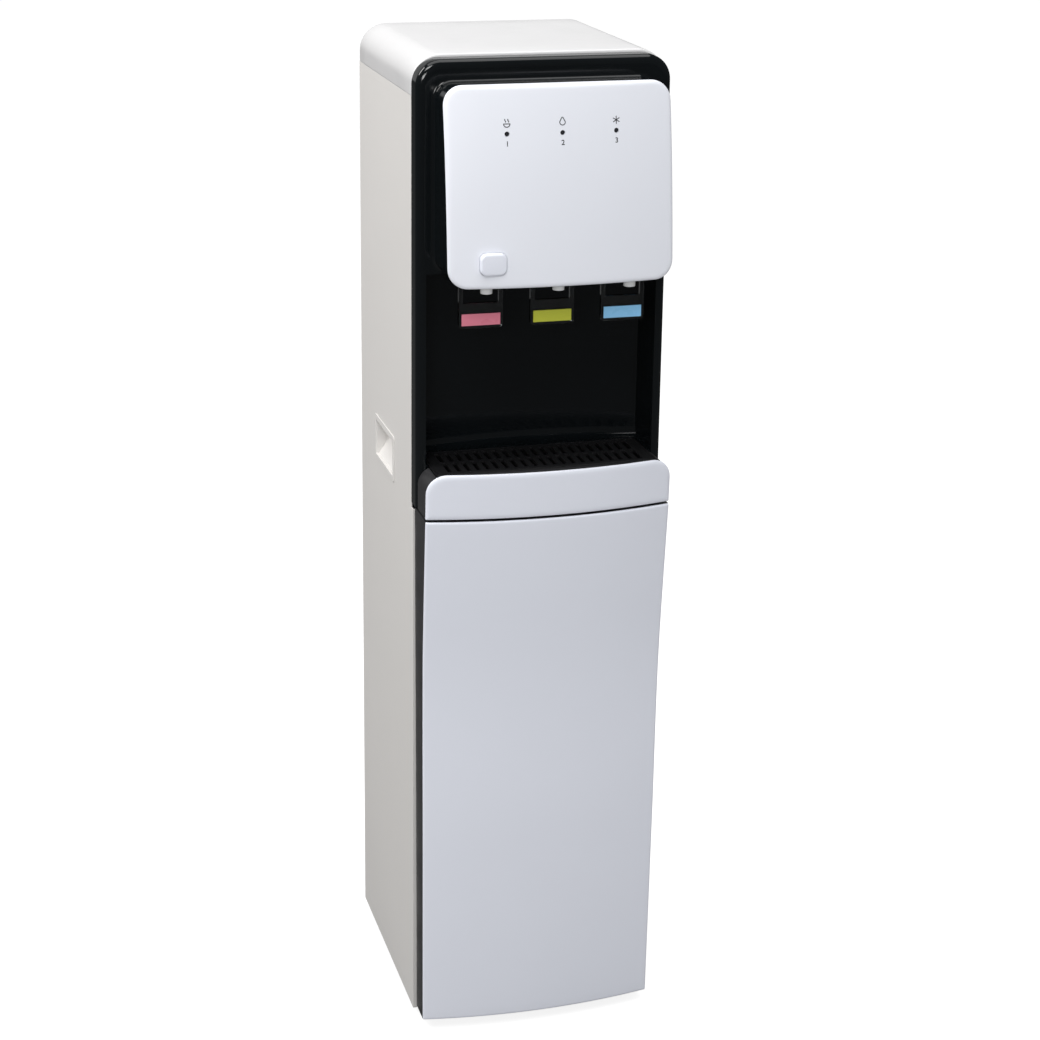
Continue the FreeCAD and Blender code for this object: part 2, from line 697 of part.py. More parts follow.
def make_back_panel():
    """Flat sheet over the rear folds, with two groups of vents."""
    edge = half - 2 * s.sheet
    low, high = base + s.sheet, lid_seam - s.sheet
    body = doc.addObject("PartDesign::Body", "back_sheet")
    sketch = outline(sketch_on(body, "back_outline", "XZ_Plane", -panel_back),
                     [(-edge, low), (edge, low), (edge, high), (-edge, high)])
    pad = body.newObject("PartDesign::Pad", "back_pad")
    pad.Profile = sketch
    bind(pad, "Length", s.sheet)
    features = []
    for label, middle, level in (("upper_vents", 0 * half, lid_seam - 2 * s.vent_pitch),
                                 ("lower_vents", -s.vent_side, s.seam_height + s.vent_pitch)):
        left, right = middle - s.vent_length / 2, middle + s.vent_length / 2
        vent = outline(sketch_on(body, label + "_sketch", "XZ_Plane", -panel_back),
                       [(left, level - s.vent_height), (right, level - s.vent_height),
                        (right, level), (left, level)])
        pocket = body.newObject("PartDesign::Pocket", label)
        pocket.Profile = vent
        pocket.Reversed = True
        bind(pocket, "Length", s.sheet)
        features.append(pocket)
        pattern = body.newObject("PartDesign::LinearPattern", label + "_row")
        pattern.Originals = [pocket]
        pattern.Direction = (vent, ["V_Axis"])
        pattern.Reversed = True
        bind(pattern, "Length", (s.vent_count - 1) * s.vent_pitch)
        bind(pattern, "Occurrences", s.vent_count)
        body.Tip = pattern
    holes = [
        box("switch_window", (s.switch_side - s.switch_pitch, back - s.sheet, switch_low()),
            (s.switch_side + s.switch_pitch, panel_back + s.sheet, switch_high())),
        square_window("drain_window", -s.drain_side, s.drain_level, s.drain_radius),
        square_window("gland_window", gland_x, s.gland_level, s.gland_radius),
    ]
    last_side = -1 if coil_count() % 2 == 0 else 1
    for side, level in ((-1, coil_level(0)), (last_side, coil_level(coil_count() - 1))):
        holes.append(square_window("coil_window", side * coil_half(), level, s.coil_tube))
    return node("back_panel", cut("back_cut", body, *holes))


def square_window(name, x, z, reach):
    """A square hole through the back panel for a fitting of that half size."""
    wide = reach + s.panel_gap
    return box(name, (x - wide, back - s.sheet, z - wide), (x + wide, panel_back + s.sheet, z + wide))


def make_lid():
    """Moulded lid with its long edges rounded, hollow from below."""
    def dome(name, wall):
        radius = smaller(s.lid_radius, s.lid_height - 0.5) - wall
        low = lid_seam - wall
        return rounded_block(
            name, (-half + wall, wall, low), (half - wall, back - wall, top - wall), radius, "y",
            lambda point: point.z > (low.value + top.value) / 2,
        )

    hollow = dome("lid_hollow", s.lid_wall)
    shell = cut("lid_shell", dome("lid_dome", 0 * s.lid_wall), hollow)
    crown = bevelled("lid_crown", shell, s.lid_back_edge, lambda edge: (
        abs(edge.CenterOfMass.y - back.value) < 1e-3
        and abs(edge.CenterOfMass.z - top.value) < 1e-3))
    return node("top_cover", crown)


# Front moulding


def make_fascia():
    """Glossy frame round the head and the bay, with holes for the tap inlets."""
    low, high = seam, top - s.fascia_inset

    def frame(name, wall, front, rear):
        return rounded_block(
            name, (-fascia_half + wall, front, low - wall), (fascia_half - wall, rear, high - wall),
            s.fascia_radius - wall, "y", lambda point: point.z > (low.value + high.value) / 2)

    outer = frame("fascia_outer", 0 * half, fascia_front, -s.panel_gap)
    soft = bevelled("fascia_soft", outer, s.fascia_edge, lambda edge: (
        abs(edge.CenterOfMass.y - fascia_front.value) < 1e-3
        and edge.CenterOfMass.z > low.value + 1e-3))
    inner = frame("fascia_inner", s.fascia_wall, fascia_front + s.fascia_wall, s.fascia_wall)
    bay = box("bay_window", (-bay_half, fascia_front - s.fascia_wall, well_floor),
              (bay_half, fascia_front + 2 * s.fascia_wall, head_bottom))
    wide = s.inlet_radius + s.panel_gap
    holes = [box("inlet_hole", (x - wide, fascia_front - s.fascia_wall, inlet_height - wide),
                 (x + wide, fascia_front + 2 * s.fascia_wall, inlet_height + wide))
             for x in tap_places()]
    return node("front_fascia", cut("fascia_cut", soft, inner, bay, *holes))


def bay_block(name, wall, low, high, front):
    """The space of the bay, with its curved rear wall, widened by a wall."""
    side = bay_half + wall
    rear = bay_back + wall
    return slab_z(name, low, high,
                  [(-side, front), (side, front), (side, rear), (-side, rear)],
                  {2: -s.bay_dish})


def make_bay_panel():
    """Curved wall behind the cups, a ledge behind the grille and the tray well."""
    front = fascia_front + s.fascia_wall
    upper = bay_block("bay_outer", s.bay_wall, grille_top - s.bay_wall,
                      head_bottom + s.bay_wall, front)
    well = box("well_outer", (-bay_half - s.bay_wall, front, well_floor - s.bay_wall),
               (bay_half + s.bay_wall, well_back + s.bay_wall, grille_top))
    space = bay_block("bay_inner", 0 * half, grille_top, head_bottom, front - s.fascia_wall)
    pit = box("well_inner", (-well_half, front - s.fascia_wall, well_floor),
              (well_half, well_back, grille_top + s.bay_wall))
    return node("bay_panel", cut("bay_cut", fuse("bay_whole", upper, well), space, pit))


def head_stations():
    """The cover leans back, and a little more towards its top."""
    reaches = (s.head_reach_low, s.head_reach_mid, s.head_reach_high)
    return [(head_bottom + s.head_height * index / 2, head_half, reach, s.head_bow)
            for index, reach in enumerate(reaches)]


def head_prism(name, margin, front, rear):
    """Front view of the head: a rectangle with round corners."""
    return rounded_block(
        name, (-head_half + margin, front, head_bottom + margin),
        (head_half - margin, rear, head_top - margin), s.cover_radius - margin, "y")


def inward(stations, skin):
    """The same stations, moved back by a skin."""
    return [(level, width, reach - skin, bow) for level, width, reach, bow in stations]


def side_profile(name, stations, skin, wide):
    """The space behind a front of that skin, with flat faces from side to side."""
    corners = [(fascia_front + 1, stations[0][0])]
    corners += [(-(reach - skin), level) for level, width, reach, bow in stations]
    corners.append((fascia_front + 1, stations[-1][0]))
    return slab_x(name, -wide, wide, corners)


def button_block(name, margin, front, rear):
    return rounded_block(
        name,
        (-button_side - s.button_width / 2 - margin, front,
         button_height - s.button_tall / 2 - margin),
        (-button_side + s.button_width / 2 + margin, rear,
         button_height + s.button_tall / 2 + margin),
        s.button_radius + margin, "y")


def make_head_cover():
    """Pale cover, bowed across its width, with its lamp and button openings."""
    front = head_front - s.cover_skin
    block = bowed_loft("cover_block", head_stations(), back=fascia_front)
    prism_cut = common("cover_trimmed", block,
                       head_prism("cover_prism", 0 * half, front, fascia_front))
    inside = side_profile("cover_inside", head_stations(), s.cover_skin, head_half + 1)
    lamps = [prism("lamp_hole", 16, s.lamp_radius + s.button_gap / 2, (x, front, lamp_height),
                   fascia_front - front, "y") for x in lamp_places()]
    opening = button_block("button_opening", s.button_gap, front, fascia_front)
    low, high = button_keeper(s.button_gap)
    seat = box("keeper_seat", low, (high[0], fascia_front, high[2]))
    return node("head_cover", cut("cover_cut", prism_cut, inside, opening, seat, *lamps))


def make_head_body():
    """Black hood that carries the cover, open in front and behind."""
    block = side_profile("hood_block", head_stations(), s.cover_skin, head_half)
    front = head_front - s.cover_skin
    trimmed = common("hood_trimmed", block,
                     head_prism("hood_prism", s.hood_inset, front, fascia_front))
    hollow = head_prism("hood_hollow", s.hood_inset + s.hood_wall, front, fascia_front + 1)
    tools = [hollow]
    for x in tap_places():
        reach = s.lever_width / 2 + s.cheek_wall
        tools.append(box("lever_window", (x - reach, spout_y() - s.barrel_radius - 1, head_bottom),
                         (x + reach, fascia_front - s.tap_flange - 12, head_bottom + 12)))
    shell = cut("hood_shell", trimmed, *tools)
    board_top = lamp_height + s.board_height / 2
    ribs = []
    for side in (-1, 1):
        x = side * (board_width / 2 - s.hood_wall)
        ribs.append(box("board_rib", (x - s.hood_wall, board_back(), board_top - 8),
                        (x + s.hood_wall, board_back() + 5, head_top - s.hood_inset - 1)))
    arm = box("switch_arm", (-head_half + s.hood_inset + 1, lock_switch_y(), button_height - 13),
              (lock_switch_x() + 5, lock_switch_y() + 8, button_height - 5))
    return node("head_body", fuse("hood_body", shell, *ribs, arm))


def lamp_places():
    return [-lamp_pitch, 0 * lamp_pitch, lamp_pitch]


def board_back():
    return -s.lamp_back + s.board_thick


def make_electronics():
    """Indicator board behind the cover, and the microswitch of the lock button."""
    low_z = lamp_height - s.board_height / 2
    card = box("indicator_card", (-board_width / 2, board_back() - s.board_thick, low_z),
               (board_width / 2, board_back(), low_z + s.board_height))
    y = lock_switch_y()
    body = box("switch_body", (lock_switch_x() - 5, y, button_height - 5),
               (lock_switch_x() + 5, y + 6, button_height + 5))
    plunger = box("switch_plunger", (lock_switch_x() + 1.5, y - 0.3, button_height - 1.5),
                  (lock_switch_x() + 4.5, y, button_height + 1.5))
    switch = fuse("lock_switch", body, plunger)
    return node("head_electronics", group("electronics_group", card, switch))


def make_lenses():
    """Round lenses that stand on the board and end in the cover's openings."""
    lenses = [prism("lens", 16, s.lamp_radius, (x, lens_front(x), lamp_height),
                    -s.lamp_back - lens_front(x), "y") for x in lamp_places()]
    return node("indicator_lenses", group("lens_group", *lenses))


def lens_front(x):
    """Just behind the face of the bowed cover at a lamp's place."""
    share = (lamp_height - head_bottom) / s.head_height * 2 - 1
    reach = s.head_reach_mid + (s.head_reach_high - s.head_reach_mid) * share
    bulge = s.head_bow * (1 - (x / head_half) * (x / head_half))
    return -(reach + bulge) + s.stem_gap


def button_keeper(margin):
    """Corners of the hidden flange of the lock button, widened by a margin."""
    wide = s.button_width / 2 + s.button_border + margin
    tall = s.button_tall / 2 + s.button_border + margin
    return ((-button_side - wide, -s.button_seat - s.button_flange - margin, button_height - tall),
            (-button_side + wide, -s.button_seat, button_height + tall))


def lock_switch_x():
    return -button_side - s.button_width / 2 - 5


def lock_switch_y():
    return -s.button_seat + s.button_travel + 4


def make_lock_button():
    """Raised button with a hidden flange and a finger for the microswitch."""
    flange_front = -s.button_seat - s.button_flange
    face = button_block("button_face", 0 * half, -s.button_front, flange_front)
    flange = box("button_keeper", *button_keeper(0))
    finger_x = -button_side - s.button_width / 2
    finger = box("button_finger", (finger_x - 3, -s.button_seat, button_height - 2),
                 (finger_x + 1, -s.button_seat + 3.5, button_height + 2))
    return node("lock_button", fuse("button_whole", face, flange, finger))


# Taps


def tap_places():
    return [-tap_pitch, 0 * tap_pitch, tap_pitch]


def spout_y():
    return -s.lever_back - s.spout_ahead


def disc_top():
    return pivot_height - s.lever_bar / 4 - s.stem_gap - s.stem_radius


def make_tap_body(label, x):
    """Flange, inlet arm, valve block, nozzle, two cheeks and the pivot pin they hold."""
    y = spout_y()
    flange_y = fascia_front - s.tap_flange
    cheek_in = s.lever_width / 2 + s.cheek_gap
    cheek_out = cheek_in + s.cheek_wall
    low, high = inlet_height - 8, pivot_height + s.cheek_half
    seat = inlet_height - s.inlet_radius
    bottom = head_bottom - s.nozzle_drop
    parts = [
        box(label + "_flange", (x - cheek_out, flange_y, low), (x + cheek_out, fascia_front, high)),
        box("inlet_arm", (x - s.inlet_radius, y, inlet_height - s.inlet_radius),
            (x + s.inlet_radius, inlet_back(), inlet_height + s.inlet_radius)),
        box("valve_block", (x - s.barrel_radius, y - s.barrel_radius, head_bottom),
            (x + s.barrel_radius, y + s.barrel_radius, barrel_top)),
        prism("nozzle", 16, s.nozzle_radius, (x, y, bottom), s.nozzle_drop + 1),
        rod("pivot", s.pivot_radius, (x - cheek_in - 1, -s.lever_back, pivot_height),
            2 * cheek_in + 2, "x"),
    ]
    for side in (-1, 1):
        near, far = sorted((x + side * cheek_in, x + side * cheek_out), key=lambda at: at.value)
        tip = -s.lever_back - s.cheek_half
        parts.append(slab_x(label + "_cheek", near, far, [
            (tip, pivot_height - s.cheek_half / 2), (tip, pivot_height + s.cheek_half / 2),
            (tip + s.cheek_half / 2, high), (flange_y + 1, high), (flange_y + 1, low + 5),
            (tip + s.cheek_half, pivot_height - s.cheek_half)]))
    outlet = prism("outlet", 12, s.water_bore, (x, y, bottom - 1), seat - bottom + 1)
    guide = rod("stem_guide", s.stem_radius + s.pin_clearance, (x, y, seat - 1),
                barrel_top - seat + 2)
    return node(label, cut(label + "_cut", fuse(label + "_whole", *parts), outlet, guide))


def inlet_back():
    return fascia_front + 14


def make_lever(label, x):
    """Clear push lever: a plate on two arms, a pivot bar and a nose over the valve."""
    wide = s.lever_width / 2
    y_front, y_back = -s.lever_back - s.lever_thick / 2, -s.lever_back + s.lever_thick / 2
    bar_top = pivot_height + s.lever_bar / 2
    plate = rounded_block(label + "_blank", (x - wide, y_front, lever_bottom),
                          (x + wide, y_back, bar_top), s.lever_arm - 0.5, "y",
                          lambda point: point.z < lever_bottom.value + 1)
    window = box(
        label + "_window", (x - wide + s.lever_arm, y_front - 1, lever_bottom + s.lever_plate),
        (x + wide - s.lever_arm, y_back + 1, pivot_height - s.lever_bar / 2))
    nose_low = pivot_height - s.lever_bar / 4
    nose = box(label + "_nose", (x - s.nose_width / 2, spout_y() - 5, nose_low),
               (x + s.nose_width / 2, y_back, nose_low + s.nose_thick))
    eye = rod(label + "_eye", s.pivot_radius + s.pin_clearance,
              (x - wide - 1, -s.lever_back, pivot_height), 2 * wide + 2, "x")
    low = lever_bottom + s.insert_rise
    seat = box(label + "_seat", (x - s.insert_width / 2, y_front - 1, low),
               (x + s.insert_width / 2, y_front + s.insert_proud, low + s.insert_height))
    return node(label, cut(label + "_cut", fuse(label + "_whole", plate, nose),
                           window, eye, seat))


def make_insert(label, x):
    y_front = -s.lever_back - s.lever_thick / 2
    low = lever_bottom + s.insert_rise
    strip = box(label + "_strip", (x - s.insert_width / 2, y_front - s.insert_proud, low),
                (x + s.insert_width / 2, y_front + s.insert_proud, low + s.insert_height))
    return node(label, group(label + "_group", strip))


def make_stem(label, x):
    """Valve stem with a hexagonal head: its spring lifts it, the lever pushes it."""
    y = spout_y()
    low = inlet_height + s.water_bore
    shaft = rod("shaft", s.stem_radius, (x, y, low), disc_top() - low)
    head = prism("stem_head", 6, s.stem_disc, (x, y, disc_top() - s.disc_thick), s.disc_thick)
    tip = prism("stem_tip", 6, s.stem_radius, (x, y, disc_top()), s.stem_radius)
    return node(label, fuse(label + "_whole", shaft, head, tip))


def make_spring(label, x):
    """Valve spring between the block and the stem's head, as the sleeve it fills."""
    y = spout_y()
    low = barrel_top + 0.1
    length = disc_top() - s.disc_thick - 0.1 - low
    outer = prism("spring_outer", 12, s.spring_radius, (x, y, low), length)
    inner = prism("spring_inner", 12, s.spring_radius - s.spring_wire, (x, y, low), length)
    return node(label, cut(label + "_cut", outer, inner))


# Apron, tray housing, tray and grille


def apron_stations():
    return [(seam, apron_half, s.apron_reach_low, s.front_bow),
            (apron_top, apron_half, s.apron_reach_high, s.front_bow)]


def apron_prism(name, margin, front, rear):
    return rounded_block(
        name, (-apron_half, front, seam), (apron_half, rear, apron_top - margin),
        s.apron_radius - margin, "y", lambda point: point.z > seam.value + 1)


def apron_front():
    return -(s.apron_reach_high + s.front_bow + s.front_skin)


def make_apron():
    """Bowed strip under the grille, with its upper corners rounded."""
    block = bowed_loft("apron_block", apron_stations(), back=fascia_front)
    trimmed = common("apron_trimmed", block,
                     apron_prism("apron_prism", 0 * half, apron_front(), fascia_front))
    inside = side_profile("apron_inside", apron_stations(), s.front_skin, apron_half + 1)
    return node("apron", cut("apron_cut", trimmed, inside))


def make_tray_housing():
    """Dark housing between fascia and apron, open at the top for the drip tray."""
    block = side_profile("housing_block", apron_stations(), s.front_skin, apron_half)
    trimmed = common("housing_trimmed", block,
                     apron_prism("housing_prism", s.housing_drop, apron_front(), fascia_front))
    front = well_front()
    pit = box("housing_well", (-well_half, front, well_floor),
              (well_half, fascia_front + 1, apron_top))
    under = box("housing_under", (-well_half, front, seam - 1),
                (well_half, fascia_front + 1, well_floor - s.housing_floor))
    return node("tray_housing", cut("housing_cut", trimmed, pit, under))


def well_front():
    return -s.apron_reach_low + s.front_skin + s.housing_floor


def make_drip_tray():
    """Shallow tray with a rim for the grille."""
    gap = s.tray_gap
    side = well_half - gap
    front, rear = well_front() + gap, well_back - gap
    low, high = well_floor + s.stem_gap, grille_top - s.grille_thick
    outer = rounded_block("tray_outer", (-side, front, low), (side, rear, grille_top), 5, "z")
    wall = s.tray_wall
    inner = box("tray_inner", (-side + 2 * wall, front + 2 * wall, low + wall),
                (side - 2 * wall, rear - 2 * wall, grille_top))
    rebate = box("tray_rebate", (-side + wall, front + wall, high),
                 (side - wall, rear - wall, grille_top + 1))
    return node("drip_tray", cut("tray_cut", outer, inner, rebate))


def make_grille():
    """Plate with two rows of slots that lies in the tray's rim."""
    gap = s.tray_gap + s.tray_wall + s.grille_gap
    side = well_half - gap
    front, rear = well_front() + gap, well_back - gap
    low = grille_top - s.grille_thick + s.stem_gap
    body = doc.addObject("PartDesign::Body", "grille_plate")
    sketch = outline(sketch_on(body, "grille_outline", "XY_Plane", low),
                     [(-side, front), (side, front), (side, rear), (-side, rear)])
    pad = body.newObject("PartDesign::Pad", "grille_pad")
    pad.Profile = sketch
    thick = s.grille_thick - s.stem_gap
    bind(pad, "Length", thick)
    columns = slot_count()
    middle = (front + rear) / 2
    start = -(columns - 1) * s.slot_pitch / 2
    for label, y in (("front_slots", middle - s.slot_rib / 2 - s.slot_length),
                     ("rear_slots", middle + s.slot_rib / 2)):
        slot = outline(sketch_on(body, label + "_sketch", "XY_Plane", low + thick),
                       [(start - s.slot_width / 2, y), (start + s.slot_width / 2, y),
                        (start + s.slot_width / 2, y + s.slot_length),
                        (start - s.slot_width / 2, y + s.slot_length)])
        pocket = body.newObject("PartDesign::Pocket", label)
        pocket.Profile = slot
        bind(pocket, "Length", thick)
        pattern = body.newObject("PartDesign::LinearPattern", label + "_row")
        pattern.Originals = [pocket]
        pattern.Direction = (slot, ["H_Axis"])
        bind(pattern, "Length", (columns - 1) * s.slot_pitch)
        pattern.Occurrences = columns
        body.Tip = pattern
    return node("drip_grille", body)


def slot_count():
    """As many slots as fit across the grille."""
    room = 2 * (well_half - s.tray_gap - s.tray_wall - s.grille_gap) - 2 * s.slot_width
    return int(room.value / s.slot_pitch.value)


# Door


def door_stations():
    foot_half = half - s.door_foot_inset

    def share(level):
        return (level - s.door_bottom) / (door_top - s.door_bottom)

    def station(level, reach):
        width = foot_half + (apron_half - foot_half) * share(level)
        bow = s.door_bow_foot + (s.front_bow - s.door_bow_foot) * share(level)
        return level, width, reach, bow

    return [station(s.door_bottom, s.door_reach_foot),
            station(s.shin_level, s.door_reach_shin),
            station(s.waist_level, s.door_reach_waist),
            station(s.flare_level, s.door_reach_flare),
            station(door_top, s.apron_reach_low)]


def make_door_skin():
    return node("door_skin", bowed_loft("door_sheet", door_stations(), depth=s.front_skin))


def make_door_liner():
    """Hollow liner behind the skin, with a recessed back and hinge bores."""
    wall = s.door_wall
    block = bowed_loft("liner_block", inward(door_stations(), s.front_skin), back=door_back)
    side = half - s.door_foot_inset - wall
    low, high = s.door_bottom, door_top
    hollow = box("liner_hollow", (-side, -s.door_reach_foot + s.front_skin + wall, low + wall),
                 (side, door_back - s.liner_recess - wall, high - wall))
    recess = box("liner_back_recess",
                 (-side + s.liner_rim, door_back - s.liner_recess, low + s.liner_rim),
                 (side - s.liner_rim, door_back + 1, magnet_low() - s.liner_rim))
    shell = cut("liner_shell", block, hollow, recess)
    bosses = []
    for start, finish in ((low, low + s.pin_grip + wall), (high - s.pin_grip - wall, high)):
        bosses.append(box("hinge_boss", (hinge_x - s.boss_half, hinge_y - s.boss_half, start),
                          (side + 1, hinge_y + s.boss_half, finish)))
    tools = [rod("hinge_bore", s.hinge_pin + s.pin_clearance, (hinge_x, hinge_y, start),
                 s.pin_grip + 1) for start in (low - 1, high - s.pin_grip)]
    for x in magnet_places():
        tools.append(box("strike_seat",
                         (x - s.magnet_length / 2, door_back - s.strike_plate, magnet_low()),
                         (x + s.magnet_length / 2, door_back + 1,
                          magnet_low() + s.magnet_height)))
    return node("door_liner", cut("liner_cut", fuse("liner_whole", shell, *bosses), *tools))


def magnet_places():
    """Two catches on the side away from the hinge."""
    first = -half + s.fold_width + s.magnet_length / 2
    return [first, first + 2 * s.magnet_length]


def magnet_low():
    return (s.frame_foot + s.door_open + door_top) / 2 - s.magnet_height / 2


def make_strikes():
    plates = [box("strike", (x - s.magnet_length / 2, door_back - s.strike_plate, magnet_low()),
                  (x + s.magnet_length / 2, door_back, magnet_low() + s.magnet_height))
              for x in magnet_places()]
    return node("door_strikes", group("strike_group", *plates))


def make_door_frame():
    """Black surround inside the side panels, closed above the bottle."""
    side = half - s.sheet - s.panel_gap
    low, high = base + s.pan_rim + s.panel_gap, step_level - s.panel_gap
    opening_top = s.frame_foot + s.door_open
    rear = lower_front + s.sheet + s.frame_depth
    front = lower_front + s.sheet + s.panel_gap
    outer = box("frame_outer", (-side, front, low), (side, rear, high))
    opening = box("frame_opening", (-side + s.frame_side, front - 1, low - 1),
                  (side - s.frame_side, rear + 1, opening_top))
    pocket = box("frame_pocket", (-side + s.frame_side, front + s.door_wall, opening_top + s.door_wall),
                 (side - s.frame_side, rear + 1, high - s.door_wall))
    plate = box("frame_plate", (-half + s.lower_fold + s.panel_gap, lower_front, opening_top),
                (half - s.lower_fold - s.panel_gap, front + 1, high))
    seat = [box("magnet_seat", (x - s.magnet_length / 2, lower_front - 1, magnet_low()),
                (x + s.magnet_length / 2, lower_front + 1.2, magnet_low() + s.magnet_height))
            for x in magnet_places()]
    whole = fuse("frame_whole", cut("frame_shell", outer, opening, pocket), plate)
    return node("door_frame", cut("frame_cut", whole, *seat))


def make_magnets():
    magnets = [box("magnet", (x - s.magnet_length / 2, lower_front - s.magnet_proud, magnet_low()),
                   (x + s.magnet_length / 2, lower_front + 1.2, magnet_low() + s.magnet_height))
               for x in magnet_places()]
    return node("door_magnets", group("magnet_group", *magnets))


def make_hinges():
    """A plate with a pin above the door and one below it."""
    reach = s.boss_half
    rear = lower_front
    upper_low = door_top + s.panel_gap
    upper = fuse("upper_hinge",
                 box("upper_plate", (hinge_x - 2 * reach, hinge_y - reach, upper_low),
                     (hinge_x + reach * 0.7, rear, upper_low + s.hinge_plate)),
                 box("upper_tab", (hinge_x - 2 * reach, rear - s.hinge_plate, upper_low - 3 * reach),
                     (hinge_x - reach - 1, rear, upper_low + s.hinge_plate)),
                 rod("upper_pin", s.hinge_pin, (hinge_x, hinge_y, door_top - s.pin_grip + 1),
                     s.pin_grip - 1 + s.panel_gap + 0.5))
    lower_high = s.door_bottom - s.panel_gap
    lower = fuse("lower_hinge",
                 box("lower_plate", (hinge_x - 2 * reach, hinge_y - reach,
                                     lower_high - s.hinge_plate),
                     (hinge_x + reach * 0.7, rear + s.sheet, lower_high)),
                 rod("lower_pin", s.hinge_pin, (hinge_x, hinge_y, lower_high - 0.5),
                     s.pin_grip - 1 + s.panel_gap))
    return node("door_hinges", group("hinge_group", upper, lower))


# Bottle compartment


def bottle_y():
    return (lower_front + back) / 2


def make_mat():
    """Floor mat with the round seat of the bottle."""
    side = half - 2 * s.sheet - 2 * s.panel_gap
    low = base + s.sheet
    plate = box("mat_plate", (-side, lower_front + 2 * s.sheet + s.panel_gap, low),
                (side, back - 2 * s.sheet - s.panel_gap, low + s.mat_thick))
    seat = rod("mat_seat", s.bottle_radius + 1, (0, bottle_y(), low + s.mat_thick - s.mat_recess),
               s.mat_recess + 1)
    return node("bottle_mat", cut("mat_cut", plate, seat))


def make_mid_shelf():
    """Sheet shelf with turned-down edges over the bottle."""
    side = half - s.sheet - s.panel_gap
    front = lower_front + s.sheet + s.frame_depth + s.panel_gap
    rear = back - s.sheet - s.panel_gap
    outer = box("shelf_outer", (-side, front, s.shelf_level - s.tank_shelf_height),
                (side, rear, s.shelf_level))
    under = box("shelf_under", (-side + s.sheet, front + s.sheet, s.shelf_level - s.tank_shelf_height - 1),
                (side - s.sheet, rear - s.sheet, s.shelf_level - s.sheet))
    hole = rod("hose_hole", s.hose_radius + s.panel_gap, (probe_x, s.probe_back,
                                                        s.shelf_level - 3 * s.sheet), 5 * s.sheet)
    return node("mid_shelf", cut("shelf_cut", outer, under, hole))


def make_probe():
    """Dip tube with the bottle's ribbed cap and a hose nipple."""
    x, y = probe_x, s.probe_back
    tube = rod("dip_tube", s.probe_radius, (x, y, s.probe_foot), s.cap_level - s.probe_foot + 2)
    cap = prism("cap_blank", 24, s.cap_radius, (x, y, s.cap_level), s.cap_height)
    nipple = prism("nipple", 12, s.hose_radius - 2, (x, y, s.cap_level + s.cap_height),
                   s.nipple_height)
    return node("suction_probe", fuse("probe_whole", cap, tube, nipple))


def make_hose():
    """Soft hose from the probe's nipple up through the shelf to the pump."""
    x, y = probe_x, s.probe_back
    low = s.cap_level + s.cap_height + s.nipple_height + s.stem_gap
    hose = rod("hose", s.hose_radius, (x, y, low), s.shelf_level - low)
    return node("suction_hose", group("hose_group", hose))


def make_probe_clips():
    """Two open clips on the side panel that park the probe. Its cap hangs on the upper."""
    x, y = probe_x, s.probe_back
    clips = []
    radius = s.probe_radius + s.panel_gap
    high = s.cap_level - s.stem_gap - s.clip_height
    for level in (s.clip_low, high):
        block = box("clip_block", (-half + s.sheet, y - radius, level),
                    (x + radius + s.clip_wall, y + radius + s.clip_wall, level + s.clip_height))
        bore = rod("clip_bore", radius, (x, y, level - 1), s.clip_height + 2)
        mouth = box("clip_mouth", (x - radius, y - 2 * radius, level - 1),
                    (x + radius, y, level + s.clip_height + 1))
        clips.append(cut("clip", block, bore, mouth))
    return node("probe_clips", group("clip_group", *clips))


# Machinery


def make_pump():
    """Water pump on the shelf: motor, pump head and hose socket."""
    x, y = pump_x, s.pump_back
    motor = prism("pump_motor", 24, s.pump_radius, (x, y, s.shelf_level), s.pump_height)
    wide = s.pump_radius * 0.75
    head = box("pump_head", (x - wide, y - wide, s.shelf_level + s.pump_height),
               (x + wide, y + wide, s.shelf_level + s.pump_height + 16))
    low = s.shelf_level
    wall = s.hose_radius + 3
    socket = box("pump_socket", (probe_x - wall, s.probe_back - wall, low),
                 (probe_x + wall, s.probe_back + wall, low + s.pump_height / 4))
    return node("pump", fuse("pump_whole", motor, head, socket))


def make_compressor():
    """Hermetic compressor on rubber mounts, with its foot plate and terminal box."""
    x, y = s.compressor_side, s.compressor_back
    low = s.shelf_level + s.mount_height
    plate_half = s.mount_pitch / 2 + s.plate_border
    plate = box("foot_plate", (x - plate_half, y - plate_half, low),
                (x + plate_half, y + plate_half, low + s.plate_thick))
    shell = prism("shell", 24, s.compressor_radius, (x, y, low), s.compressor_height)
    space = prism("shell_space", 24, s.compressor_radius - s.compressor_wall,
                  (x, y, low + s.compressor_wall), s.compressor_height - 2 * s.compressor_wall)
    terminal = box(
        "terminal_box",
        (x - s.terminal_width / 2, y - s.compressor_radius - s.terminal_proud, low + s.terminal_level),
        (x + s.terminal_width / 2, y - s.compressor_radius * 0.8,
         low + s.terminal_level + s.terminal_height))
    mounts = []
    reach = s.mount_width / 2
    for across in (-1, 1):
        for along in (-1, 1):
            at_x = x + across * s.mount_pitch / 2
            at_y = y + along * s.mount_pitch / 2
            mounts.append(box("rubber_mount", (at_x - reach, at_y - reach, s.shelf_level),
                              (at_x + reach, at_y + reach, low)))
    whole = cut("compressor_whole", fuse("compressor_solid", plate, shell, terminal), space)
    return node("compressor", group("compressor_group", whole, *mounts))


